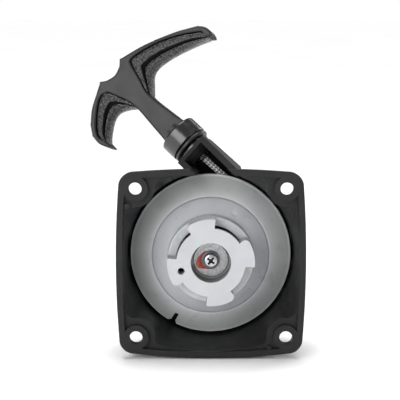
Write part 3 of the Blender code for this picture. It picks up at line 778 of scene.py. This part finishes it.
def reel(skin):
    """The rope pulley: tower, conical front flange, drum, back flange and the spring's recess."""
    lip = arc((RIM_RADIUS - 0.75, -RIM_TOP - 0.75), 0.75, radians(75), radians(-90), 8)
    profile = [
        (TOWER_BORE, -TOWER_TOP - 0.3), (TOWER_BORE + 0.3, -TOWER_TOP),
        *arc((TOWER_RADIUS - 0.6, -TOWER_TOP - 0.6), 0.6, radians(90), 0, 5),
        *arc((TOWER_RADIUS + 1.2, -16.4), 1.2, radians(180), radians(232), 6),
        (GROOVE_RADIUS - 0.5, -GROOVE_DEPTH + 0.55), (GROOVE_RADIUS - 0.15, -GROOVE_DEPTH - 0.05),
        (GROOVE_RADIUS + 0.15, -GROOVE_DEPTH - 0.1), (GROOVE_RADIUS + 0.5, -GROOVE_DEPTH + 0.25),
        (GROOVE_RADIUS + 1.1, -GROOVE_DEPTH + 0.1), (31.0, -24.0),
        *lip,
        (GROOVE_RADIUS, -GROOVE_DEPTH - 0.2 - SHELL), (CORE_RADIUS, -21.6),
        (CORE_RADIUS, -BACK_FLANGE + 0.5), (CORE_RADIUS + 0.5, -BACK_FLANGE),
        (BACK_FLANGE_RADIUS - 0.3, -BACK_FLANGE - 0.3), (BACK_FLANGE_RADIUS, -BACK_FLANGE - 0.6),
        (BACK_FLANGE_RADIUS, -REEL_BACK + 0.3), (BACK_FLANGE_RADIUS - 0.3, -REEL_BACK),
        (RECESS_RADIUS, -REEL_BACK), (RECESS_RADIUS, -RECESS_TOP), (HUB_RADIUS - 0.6, -RECESS_TOP),
        (HUB_RADIUS - 0.6, -REEL_BACK + 0.4), (POST_BORE, -REEL_BACK + 0.4), (POST_BORE, -HUB_TOP),
        (HUB_RADIUS, -HUB_TOP), (HUB_RADIUS, -WEB), (TOWER_BORE, -WEB),
    ]
    body = raw_object("rope_reel", turned(profile, 180))
    mouth, throat, bottom = 3.4, 1.0, RIM_RADIUS - 4.2
    slot = [
        *smooth_through([(RIM_RADIUS + 3, -mouth), (RIM_RADIUS, -2.2), (RIM_RADIUS - 1.2, -throat)], 4),
        *arc((bottom, 0), throat, radians(-90), radians(-270), 12),
        *smooth_through([(RIM_RADIUS - 1.2, throat), (RIM_RADIUS, 2.2), (RIM_RADIUS + 3, mouth)], 4),
    ]
    turn = Matrix.Rotation(NOTCH_ANGLE, 4, "Z")
    hole = Matrix.Translation((0, 0, -KNOT_DEPTH)) @ Matrix.Rotation(radians(90), 4, "Y")
    notch = moved(extruded(slot, -32, -20), turn)
    mark = drum(MARK_RADIUS, -19.2, -12, MARK_PLACE, 40)
    knot_hole = moved(drum(REEL_KNOT_HOLE, -RECESS_TOP - CUT, -24, (KNOT_PLACE, 0)), turn)
    rope_hole = moved(drum(REEL_ROPE_HOLE, KNOT_PLACE, CORE_RADIUS + CUT), turn @ hole)
    combine(body, [notch, mark, knot_hole, rope_hole])
    eased(body, 0.18, 2, 50)
    piece(body, AXIS, "reel", "natural_nylon", [skin], "reel")


def lobe_outline(start):
    """One drive lobe, sharp on its driving side and rounded on the other."""
    end = start + LOBE_ANGLE
    corner = 2.2
    lean = corner / TOWER_RADIUS
    bend = arc(
        on_circle(TOWER_RADIUS - corner, end - lean), corner, end - lean, end - lean + radians(90), 10
    )
    inner = DISC_RADIUS - 2.5
    rim = arc((0, 0), TOWER_RADIUS, start, end - 2 * lean, 20)
    return [on_circle(inner, start), *rim, *bend[1:], on_circle(inner, end)]


def drive_cam(skin, wall_shade):
    """The drive cam: a disc with four lobes, a washer recess whose wall is painted dark as shade, and a
    bearing tube.
    """
    profile = [
        (RECESS, -CAM_TOP - 0.4), (RECESS + 0.12, -CAM_TOP - 0.12), (RECESS + 0.4, -CAM_TOP),
        (DISC_RADIUS - 0.3, -CAM_TOP), (DISC_RADIUS - 0.09, -CAM_TOP - 0.09),
        (DISC_RADIUS, -CAM_TOP - 0.3), (DISC_RADIUS, -CAM_TOP - DISC), (CAM_TUBE, -CAM_TOP - DISC),
        (CAM_TUBE, -CAM_BACK), (POST_BORE - 0.1, -CAM_BACK), (POST_BORE - 0.1, -CAM_FLOOR),
        (RECESS, -CAM_FLOOR),
    ]
    body = raw_object("soft_start_cam", turned(profile, 160))
    lobes = [
        extruded(lobe_outline(LOBE_START + tau * i / LOBES), GAP - TOWER_TOP, -CAM_TOP)
        for i in range(LOBES)
    ]
    combine(body, lobes, "UNION", "MANIFOLD")
    hole = drum(CAM_HOLE, -TOWER_TOP - CUT, CUT, CAM_HOLE_PLACE, 48)
    combine(body, [hole], solver="MANIFOLD")
    eased(body, 0.22, 3, 50)
    # the recess wall takes the second material, painted dark as shade
    for face in body.data.polygons:
        wall = RECESS - 0.1 < face.center.xy.length < RECESS + 0.1 and face.center.z < -CAM_TOP - 0.5
        face.material_index = 1 if wall else 0
    piece(body, AXIS, "drive_cam", "white_plastic", [skin, wall_shade], "drive_cam")


def flat_washer(skin):
    """The large plain washer, with rounded edges."""
    inner, outer, edge = 2.2, WASHER_RADIUS, 0.18
    top, back = -WASHER_FACE, -WASHER_FACE - WASHER
    profile = [
        (inner + edge, top),
        *arc((outer - edge, top - edge), edge, radians(90), 0, 4),
        *arc((outer - edge, back + edge), edge, 0, radians(-90), 4),
        (inner + edge, back), (inner, back + edge), (inner, top - edge),
    ]
    body = raw_object("flat_washer", turned(profile, 128))
    piece(body, AXIS, "housing", "zinc_steel", [skin], "retaining_washer")


def spring_washer(skin):
    """A split ring, its two ends a little apart in height."""
    inner, outer = 2.1, SPRING_WASHER_RADIUS
    top = -(WASHER_FACE - GAP - SPRING_WASHER)
    back = 0.05 - SPRING_WASHER
    split = radians(6)
    steps = 90
    rings = []
    for i in range(steps + 1):
        angle = split / 2 + (tau - split) * i / steps
        rise = 0.12 * (i / steps - 0.5)
        section = []
        for r, z in ((inner, -0.05), (outer, -0.05), (outer, back), (inner, back)):
            x, y = on_circle(r, angle)
            section.append((x, y, top - 0.02 + z + rise))
        rings.append(section)
    body = eased(raw_object("split_washer", skinned(rings)), 0.1, 2)
    piece(body, AXIS, "housing", "spring_steel", [skin], "spring_washer")


def centre_screw(skin, shade):
    """A pan-head screw with a cross recess, which shade darkens."""
    seat = -WASHER_FACE + SPRING_WASHER + 2 * GAP
    crown = [(0, 2.0), (1.6, 1.96), (2.7, 1.74), (3.15, 1.2), (HEAD_RADIUS, 0.4)]
    profile = [
        *smooth_through([(r, seat + z) for r, z in crown], 5),
        (HEAD_RADIUS, seat + 0.1), (HEAD_RADIUS - 0.1, seat), (SHANK, seat), (SHANK, -POST_TOP - 13),
        (0, -POST_TOP - 14.5),
    ]
    body = raw_object("cross_screw", turned(profile, 96))
    cross = []
    corners = ((-1, -1), (1, -1), (1, 1), (-1, 1))
    for quarter in range(2):
        turn = Matrix.Rotation(CROSS_TURN + radians(90 * quarter), 4, "Z")
        blade = skinned(
            [
                [(x * 0.75, y * 0.28, seat + 0.5) for x, y in corners],
                [(x * 2.35, y * 0.5, seat + 2.4) for x, y in corners],
            ]
        )
        cross.append(moved(blade, turn))
    rounds = [(0.5, seat + 0.4), (1.05, seat + 2.4)]
    hub = lofted([(arc((0, 0), radius, 0, tau * 15 / 16, 15), height) for radius, height in rounds])
    combine(body, [*cross, hub])
    eased(body, 0.07, 2)
    # painted shade: the cross recess's faces take the dark second material
    for face in body.data.polygons:
        centre = face.center
        dome = seat + 1.95 - 0.06 * centre.xy.length_squared - 0.12
        inside = centre.xy.length < 2.2 and seat + 0.3 < centre.z < dome
        face.material_index = 1 if inside else 0
    piece(body, AXIS, "housing", "zinc_steel", [skin, shade], "centre_screw")


def thread_lock_dab(skin):
    """Red paint run out from under the screw's head, widest towards the washer's left edge."""
    steps, across = 60, 10
    start, end = radians(112), radians(262)
    base = -WASHER_FACE
    inner = SPRING_WASHER_RADIUS + 0.06
    rings = []
    for i in range(steps + 1):
        angle = start + (end - start) * i / steps
        taper = sin(pi * i / steps) ** 0.5
        tongue = exp(-((degrees(angle) - 207) / 27) ** 2)
        wide = exp(-((degrees(angle) - 172) / 55) ** 2)
        ripple = 0.12 * sin(9 * angle) + 0.08 * sin(17 * angle + 1)
        outer = inner + 0.08 + (1.25 * wide + 2.0 * tongue + ripple) * taper
        section = []
        for k in range(across + 1):
            t = k / across
            x, y = on_circle(inner + (outer - inner) * t, angle)
            section.append((x, y, base + 0.03 + 0.34 * taper * (1 - t) ** 0.8 * (1 - 0.35 * t)))
        for t in (1, 0):
            x, y = on_circle(inner + (outer - inner) * t, angle)
            section.append((x, y, base + 0.01))
        rings.append(section)
    body = raw_object("thread_lock_dab", skinned(rings))
    piece(body, AXIS, "housing", "zinc_steel", [skin], angle=60, weighted=False)


# Rope


def rope_piece(obj, place, body, skins, *nodes):
    """A finished length of rope, smooth all over."""
    piece(obj, place, body, "braided_rope", skins, *nodes, angle=80, weighted=False)


def winding(skin):
    """Five turns of rope on the reel: two, two and one."""
    path = []
    steps = 60
    layers = ((CORE_RADIUS + 1.8, 2, 1), (CORE_RADIUS + 4.8, 2, -1), (TANGENT_RADIUS, 1, 1))
    front, back = RUN_DEPTH + ROPE / 2 + 0.5, BACK_FLANGE - GAP - ROPE / 2
    for radius, turns, way in layers:
        count = turns * steps
        for i in range(count - steps // 8):
            share = i / count
            depth = back + (front - back) * share if way > 0 else front + (back - front) * share
            path.append((*on_circle(radius, NOTCH_ANGLE + tau * i / steps), -depth))
    body = raw_object("wound_rope", swept(path, ROPE / 2 - 0.1, 14))
    rope_piece(body, AXIS, "reel", [skin], "rope_winding")


def run_point(share):
    """A point of the rope between the winding and the guide, in the reel-axis frame."""
    back_off = -PLATE - 4 * GAP
    reach = LEAD_RUN + back_off * cos(LEAD_TILT)
    change = LEAD_DEPTH + back_off * sin(LEAD_TILT) - RUN_DEPTH
    x = ACROSS.x * TANGENT_RADIUS + ALONG.x * share * reach
    y = ACROSS.z * TANGENT_RADIUS + ALONG.z * share * reach
    return Vector((x, y, -RUN_DEPTH - share**2 * change))


def strand_mesh(turn, start, steps):
    """One strand of the woven run: turn is 1 or -1 for its direction, start its angle at the reel."""
    middle, wave, thick, wide = 1.12, 0.16, 0.2, 0.42
    run = run_point(1) - run_point(0)
    way = run.normalized()
    side = way.orthogonal().normalized()
    up = way.cross(side)
    section = [on_circle(1, tau * k / 8) for k in range(8)]
    rings = []
    for i in range(steps + 1):
        along = run.length * i / steps
        angle = turn * tau * along / BRAID_PITCH + start
        radius = middle + turn * wave * cos(tau * STRANDS * along / BRAID_PITCH)
        out = side * cos(angle) + up * sin(angle)
        around = (up * cos(angle) - side * sin(angle)) * BRAID_PITCH
        flat = (way * tau * middle - around * turn).normalized()
        centre = run_point(i / steps) + out * radius
        rings.append([centre + out * thick * x + flat * wide * y for x, y in section])
    shape = skinned(rings)
    bmesh.ops.recalc_face_normals(shape, faces=shape.faces)
    mesh = bpy.data.meshes.new("strand")
    shape.to_mesh(mesh)
    shape.free()
    mesh.polygons.foreach_set("material_index", [0 if turn > 0 else 1] * len(mesh.polygons))
    return mesh


def woven_run(pale, grey):
    """The visible rope in the neck, woven from strands that wind both ways over a grey core."""
    steps = int((run_point(1) - run_point(0)).length / 0.22)
    parts = bmesh.new()
    for turn in (1, -1):
        for strand in range(STRANDS):
            mesh = strand_mesh(turn, tau * strand / STRANDS, steps)
            parts.from_mesh(mesh)
            bpy.data.meshes.remove(mesh)
    rope_piece(raw_object("rope_in_neck", parts), AXIS, "housing", [pale, grey], "rope_run")
    heart = raw_object("rope_core", swept([run_point(i / 12) for i in range(13)], 1.06, 16))
    rope_piece(heart, AXIS, "housing", [grey])


def lead(skin):
    """The rope through the guide and the handle."""
    start, end, rings = -PLATE - GAP, KNOT_SEAT + 0.2, 260
    path = [(0, start + (end - start) * i / rings, 0) for i in range(rings + 1)]
    body = raw_object("rope_lead_cord", swept(path, ROPE / 2 - 0.02, 24))
    rope_piece(body, PULL, None, [skin], "rope_lead")
    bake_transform(body)


def knot(name, radius, thick, place, frame_matrix, body, skin, node):
    """An overhand knot drawn up tight."""
    path = []
    for i in range(90):
        t = tau * i / 90
        x, y = radius * (sin(t) + 2 * sin(2 * t)) / 3, radius * (cos(t) - 2 * cos(2 * t)) / 3
        path.append((x, y, -radius * sin(3 * t) / 2))
    shape = moved(swept(path, thick, 12, closed=True), Matrix.Translation(place))
    rope_piece(raw_object(name, shape), frame_matrix, body, [skin], node)


# Pieces on the pull axis


def on_pull(name, profile, body, slot, skin, node):
    """A lathe shape along the pull axis."""
    made = raw_object(name, moved(turned(profile, 128), ON_PULL))
    piece(made, PULL, body, slot, [skin], node, angle=30)


def rounded_corner(radius, height, ease, up, steps=5):
    """Profile points round an outer corner; up is 1 at a piece's far end and -1 at its near end."""
    ends = (0, 90) if up > 0 else (-90, 0)
    centre = (radius - ease, height - up * ease)
    return arc(centre, ease, radians(ends[0]), radians(ends[1]), steps)


def rope_guide(skin):
    """The glossy spout that the handle seats on."""
    profile = [
        (GUIDE_BORE + 0.7, -PLATE - GAP), (GUIDE_STUB, -PLATE - GAP), (GUIDE_STUB, GAP),
        *rounded_corner(GUIDE_RADIUS + 0.3, GAP, 0.25, -1),
        *rounded_corner(GUIDE_RADIUS + 0.3, 1.3, 0.3, 1),
        (GUIDE_RADIUS, 1.6),
        *rounded_corner(GUIDE_RADIUS, GUIDE_END, 0.6, 1),
        *arc((GUIDE_BORE + 1.2, GUIDE_END - 1.2), 1.2, radians(90), radians(180), 6),
        (GUIDE_BORE, -PLATE + 0.4),
    ]
    on_pull("rope_spout", profile, "housing", "guide_plastic", skin, "rope_guide")


def bumper(skin):
    """The dark ring between the collar and the spout."""
    low, high, outer = GUIDE_END + GAP, COLLAR_START - GAP, COLLAR_RADIUS - 0.2
    near = rounded_corner(outer, low, 0.7, -1, 8)
    profile = [(3.4, low), *near, *rounded_corner(outer, high, 0.5, 1), (3.4, high)]
    on_pull("bumper_ring", profile, "handle", "soft_grip", skin, "collar_bumper")


def collar(skin):
    """The glossy ferrule at the stem's foot."""
    low, high, radius = COLLAR_START, COLLAR_END - GAP, COLLAR_RADIUS
    far = rounded_corner(radius, high, 1.0, 1, 8)
    profile = [(6.2, low), *rounded_corner(radius, low, 0.6, -1), *far, (6.2, high)]
    on_pull("stem_collar", profile, "handle", "guide_plastic", skin, "handle_collar")


def handle_outline():
    """The hard T as (across, along) points, anticlockwise from the stem's foot."""
    runs = [
        [(6.1, COLLAR_END), (5.0, 26), (4.4, 34), (5.0, 38.5), (6.3, 42)],  # stem
        [(8.9, 51.2), (11.5, 53.0), (23.0, 49.4), (33.6, 43.2), (41.6, 36.6)],  # under the long arm
        [(41.5, 33.4), (43.3, 31.8), (44.5, 34.0), (44.2, 37), (42.4, 39.8)],  # its tip
        [(35.0, 44.9), (26.2, 49.7), (17.0, 53.9), (7.0, 57.2)],  # its top
        [(4.6, 55.2), (0, 53.9), (-4.6, 55.2)],  # the dip between the arms
        [(-7.0, 57.0), (-12.4, 54.5), (-19.0, 51.2), (-24.4, 46.8)],  # top of the short arm
        [(-27.6, 42.2), (-28.0, 37.2), (-25.6, 32.6), (-25.0, 36.4)],  # its tip
        [(-26.0, 39.4), (-23.9, 43.2), (-17.8, 48.6), (-11.7, 52.0), (-8.0, 50.8)],  # under it
        [(-5.2, 42.5), (-4.4, 39), (-4.2, 34), (-5.0, 26), (-6.1, COLLAR_END)],  # stem
    ]
    return [point for run in runs for point in smooth_through(run)]


def roundings(outline, most):
    """How far each point can move in, up to most, and stay nearest to its own part of the edge."""
    points = [Vector(point) for point in outline]
    count = len(points)
    ways = []
    room = []
    for i, point in enumerate(points):
        chord = points[(i + 1) % count] - points[i - 1]
        way = Vector((-chord.y, chord.x)).normalized()
        reach = most
        while reach > 0.05:
            inside = point + way * reach
            if min((inside - other).length for other in points) > 0.93 * reach:
                break
            reach *= 0.93
        ways.append(way)
        room.append(reach)
    for _ in range(4):
        room = [
            min(room[i], (room[i - 1] + 2 * room[i] + room[(i + 1) % count]) / 4) for i in range(count)
        ]
    return points, ways, room


def handle_body(skin, edge):
    """The hard T, rounded along its edges, which carry painted shade, and thicker across the arms than
    at the stem.
    """
    steps = 6
    points, ways, room = roundings(handle_outline(), 1.1)
    rings = []
    for i in range(steps + 1):
        bend = radians(90 * i / steps)
        inward, drop = 1 - sin(bend), 1 - cos(bend)
        moves = zip(points, ways, room)
        rings.append([(*(p + w * r * inward), r * drop - ARM_HALF) for p, w, r in moves])
    rings += [[(x, y, -z) for x, y, z in row] for row in reversed(rings)]
    bm = skinned(rings)
    ramp_start, ramp_end = 30, 46
    for along in range(ramp_start, ramp_end + 1):
        everything = [*bm.verts, *bm.edges, *bm.faces]
        bmesh.ops.bisect_plane(bm, geom=everything, plane_co=(0, along, 0), plane_no=(0, 1, 0))
    for vert in bm.verts:
        share = min(max((vert.co.y - ramp_start) / (ramp_end - ramp_start), 0), 1)
        share = share * share * (3 - 2 * share)
        vert.co.z *= (STEM_HALF + (ARM_HALF - STEM_HALF) * share) / ARM_HALF
    body = raw_object("t_handle", bm)
    combine(body, [moved(drum(FOOT_RADIUS, COLLAR_START + 0.5, COLLAR_END + 2), ON_PULL)], "UNION")
    holes = ((ROPE_HOLE, COLLAR_START - CUT), (KNOT_HOLE, KNOT_SEAT))
    combine(body, [moved(drum(radius, low, T_TOP), ON_PULL) for radius, low in holes])
    # the steep edge faces take the second material: a rougher finish painted darker as shade
    for face in body.data.polygons:
        face.material_index = 1 if abs(face.normal.z) < EDGE_TILT else 0
    piece(body, PULL, "handle", "handle_plastic", [skin, edge], "handle_body", angle=30)


def insert_section(width):
    """Half of an insert's section as (distance in, height): tongue, lip, crease and roll."""
    face, valley, crown = ARM_HALF - 0.03, 2.9, 4.3
    lip = max(0.45 * width, 2.5)
    roll = width - lip
    front = [
        (-TONGUE, 0), (-TONGUE, 3.6), (-0.1, 4.3), (0, face - 0.5), (0.12, face - 0.14),
        (0.45, face), (0.55, face), (0.8, face - 0.45), (1.05, face),
        (lip - 0.3, face - 0.05), (lip + 0.1, face - 0.6), (lip + 0.3, valley + 1.6),
        (lip + 0.15 * roll, valley), (lip + 0.26 * roll, valley + 0.35), (lip + 0.42 * roll, crown),
    ]
    centre = lip + 0.45 * roll
    for i in range(1, 8):
        bend = radians(90 * i / 7)
        front.append((centre + (width - centre) * sin(bend), crown * cos(bend)))
    return smooth_through(front, 4)


def grip_insert(name, outer, inner, count, skins, node):
    """A soft insert whose stippled face drops into a crease and swells into a rounded finger roll."""
    rims = resampled(smooth_through(outer), count)
    rolls = resampled(smooth_through(inner), count)
    rings = []
    for i, (a, b) in enumerate(zip(rims, rolls)):
        way = b - a
        half = insert_section(way.length)
        way.normalize()
        front = [(a + way * r, z) for r, z in half]
        back = [(a + way * r, -z) for r, z in half[1:-1]][::-1]
        ring_points = [Vector((p.x, p.y, z)) for p, z in [*front, *back]]
        if i in (0, count - 1):
            middle = sum(ring_points, Vector()) / len(ring_points)
            beside = 1 if i == 0 else i - 1
            out = (a - rims[beside] + b - rolls[beside]).normalized() * TONGUE
            ring_points = [middle + (p - middle) * 0.8 + Vector((out.x, out.y, 0)) for p in ring_points]
        rings.append(ring_points)
    bm = skinned(rings)
    around, side = len(rings[0]), len(rings[0]) // 2 + 1
    # the crease's faces take the second material, painted dark as shade
    for k, face in enumerate(bm.faces):
        i = k % around
        i = i if i < side else 2 * side - 1 - i
        face.material_index = 1 if i in CREASE else 0
    bmesh.ops.recalc_face_normals(bm, faces=bm.faces)
    bm.normal_update()
    for vert in bm.verts:
        grain = noise.noise(vert.co * 1.9) + 0.5 * noise.noise(vert.co * 4.1)
        vert.co += vert.normal * 0.1 * grain
    body = raw_object(name, bm)
    piece(body, PULL, "handle", "soft_grip", skins, node, angle=75, weighted=False)


def grip_inserts(skins):
    """The inserts of the long and the short arm."""
    grip_insert(
        "long_finger_grip",
        [(5.6, 39.8), (6.9, 43.2), (9.3, 50.6), (11.7, 52.3), (22.8, 48.8), (33.3, 42.7), (41.2, 36.0)],
        [(4.9, 34.8), (8.4, 38.0), (12.0, 41.0), (16.5, 41.8), (24.0, 40.0), (32.0, 36.8), (41.3, 32.5)],
        200, skins, "grip_insert_long",
    )
    grip_insert(
        "short_finger_grip",
        [(-5.2, 41.2), (-8.3, 50.3), (-11.7, 51.4), (-17.5, 47.9), (-23.3, 42.7), (-25.4, 39.0)],
        [(-4.7, 36.8), (-8.4, 39.8), (-12.0, 41.4), (-16.0, 41.0), (-20.6, 38.4), (-25.0, 35.2)],
        120, skins, "grip_insert_short",
    )


# Light, floor and camera


def aimed(name, data, way):
    """A lamp or camera in the scene that looks along a way."""
    made = in_scene(name, data)
    made.rotation_euler = Vector(way).to_track_quat("-Z", "Y").to_euler()
    return made


def surroundings():
    """A white room, a little brighter towards -Y, that the camera sees as a plain white backdrop."""
    world = bpy.data.worlds.new("studio")
    bpy.context.scene.world = world
    tree = Tree(world)
    parts = tree.node("SeparateXYZ", Vector=tree.node("TexCoord").outputs["Generated"])
    room = tree.node(
        "MapRange", interpolation_type="SMOOTHSTEP", Value=parts.outputs["Y"],
        From_Min=-0.7, From_Max=0.1, To_Min=0.3, To_Max=0.2,
    )
    shown = tree.node("Mix")
    ray = tree.node("LightPath").outputs["Is Camera Ray"]
    for index, value in ((0, ray), (2, room.outputs["Result"]), (3, 1.0)):
        tree.put(shown.inputs[index], value)
    background = tree.nodes["Background"].inputs
    tree.put(background["Strength"], shown.outputs[0])
    tree.put(background["Color"], (1, 1, 1, 1))


def studio():
    """A plain pale floor under the flange's lower edge and soft lamps."""
    bpy.ops.mesh.primitive_plane_add(size=30.0, location=(0, 0, CAD_BOX[0][2] - FLOOR_DROP))
    floor = bpy.context.object
    floor.name = "floor"
    look = Look("pale_floor", 0.9)
    look.colour(look.ramp(look.noise(400, 2), [(0.3, (0.9, 0.9, 0.9)), (0.7, (0.92, 0.92, 0.92))]))
    floor.data.materials.append(look.made)
    for name, place, size, power in (
        ("key", (-0.46, -0.74, 0.34), 0.6, 4.8),
        ("fill", (0.6, -0.55, 0.25), 0.25, 0.6),
        ("rim", (-0.55, 0.35, 0.0), 0.3, 2.0),
        ("back", (0.45, 0.5, 0.35), 0.3, 1.5),
    ):
        lamp = bpy.data.lights.new(name, "AREA")
        lamp.size = size
        lamp.energy = power
        aimed(name, lamp, Vector(LAMP_AIM) - Vector(place)).location = place
    sun = bpy.data.lights.new("overhead", "SUN")
    sun.energy = 2.9
    sun.angle = radians(40)
    aimed("overhead", sun, (0.05, -0.2, -1))
    bpy.context.scene.view_settings.view_transform = "Standard"


def camera():
    """The view from a little above the reel's axis, along a long lens."""
    distance, height, aside = 0.600, 0.02795, -0.00481
    drop = radians(8)
    ahead = Vector((0, cos(drop), -sin(drop)))
    up = Vector((0, sin(drop), cos(drop)))
    data = bpy.data.cameras.new("camera")
    data.sensor_width = 36.0
    data.lens = 123.55
    made = aimed("camera", data, ahead)
    made.location = Vector((aside, 0, 0)) + up * height - ahead * distance
    bpy.context.scene.camera = made


def dress(node, skin):
    """Gives a CAD node that stays its finished material."""
    obj = frame["nodes"][node]
    obj.data.materials.clear()
    obj.data.materials.append(skin)


def build():
    """Makes every piece and the studio."""
    camera()
    # the housing's last number sets how dark its painted shade deep inside gets
    black = moulded(
        "housing_plastic", (0.014, 0.014, 0.0145), (0.021, 0.021, 0.022), 0.42, 0.52, 0.5, 0.02, 0.45,
        Specular_IOR_Level=0.24,
    )
    gloss = moulded(
        "guide_plastic", (0.008, 0.008, 0.009), (0.012, 0.012, 0.013), 0.2, 0.28, 1.5, 0.006,
        Specular_IOR_Level=0.85,
    )
    satin = moulded(
        "handle_plastic", (0.018, 0.018, 0.02), (0.027, 0.027, 0.029), 0.36, 0.44, 0.35, 0.012,
        Specular_IOR_Level=0.35,
    )
    # the T's edge material: rougher, with a darker colour that is painted shade
    shaded_edge = moulded(
        "handle_edge_shade", (0.007, 0.007, 0.0075), (0.012, 0.012, 0.0125), 0.5, 0.6, 0.35, 0.02,
        Specular_IOR_Level=0.2,
    )
    grip = stippled(
        "soft_grip", (0.003, 0.003, 0.003), (0.10, 0.10, 0.10), 0.85, 0.25, 0.55, Sheen_Weight=1.0,
        Sheen_Roughness=0.3,
    )
    rubber = moulded("bumper_rubber", (0.012, 0.012, 0.013), (0.02, 0.02, 0.02), 0.3, 0.42, 1.0, 0.01)
    # the crease: smooth rubber painted dark as shade
    crease = moulded(
        "grip_crease_shade", (0.006, 0.006, 0.006), (0.012, 0.012, 0.012), 0.6, 0.7, 0.4, 0.02,
        Specular_IOR_Level=0.25,
    )
    nylon = natural_nylon()
    white = moulded(
        "white_plastic", (0.50, 0.51, 0.53), (0.56, 0.57, 0.59), 0.3, 0.42, 0.8, 0.008,
        Subsurface_Weight=0.15, Subsurface_Scale=0.001,
    )
    # the cam recess wall's painted shade
    recess_shade = moulded("recess_wall_shade", (0.09, 0.1, 0.09), (0.22, 0.23, 0.22), 0.3, 0.5, 1.0, 0.02)
    zinc = turned_steel("zinc_steel", (0.26, 0.26, 0.27), (0.46, 0.46, 0.47), 0.38)
    bright = turned_steel("bright_steel", (0.4, 0.4, 0.4), (0.6, 0.6, 0.61), 0.32, 0.006)
    # painted shade for the screw's cross recess
    cross_shade = turned_steel("cross_recess_shade", (0.02, 0.02, 0.022), (0.06, 0.06, 0.06), 0.5, 0.004)
    blued = turned_steel("spring_steel", (0.08, 0.083, 0.095), (0.17, 0.17, 0.185), 0.34)
    pale, grey = (0.8, 0.8, 0.78), (0.14, 0.14, 0.145)
    cover = braid("braided_rope", pull_frame(), pale, grey)
    fibre = {"low": 0.75, "high": 0.9, "grain": 0.12, "depth": 0.03, "Sheen_Weight": 0.2}
    strand = moulded("pale_strand", (0.66, 0.66, 0.64), pale, **fibre)
    dark_strand = moulded("grey_strand", (0.1, 0.1, 0.105), grey, **fibre)
    housing(black)
    reel(nylon)
    drive_cam(white, recess_shade)
    flat_washer(zinc)
    spring_washer(blued)
    centre_screw(bright, cross_shade)
    thread_lock_dab(thread_lock())
    winding(strand)
    woven_run(strand, dark_strand)
    lead(cover)
    turn = Matrix.Rotation(NOTCH_ANGLE, 4, "Z")
    seat = turn @ Vector((KNOT_PLACE, 0, -KNOT_DEPTH))
    knot("reel_end_knot", 1.05, 1.1, seat, AXIS, "reel", strand, "reel_knot")
    knot("handle_end_knot", 1.6, 1.4, (0, KNOT_SEAT + 3.6, 0), PULL, "handle", strand, "handle_knot")
    rope_guide(gloss)
    bumper(rubber)
    collar(gloss)
    handle_body(satin, shaded_edge)
    grip_inserts([grip, crease])
    for node in ("recoil_spring", "damper_spring"):
        dress(node, blued)
    for node in ("spring_case", "spring_cover"):
        dress(node, zinc)
    surroundings()
    studio()


build()
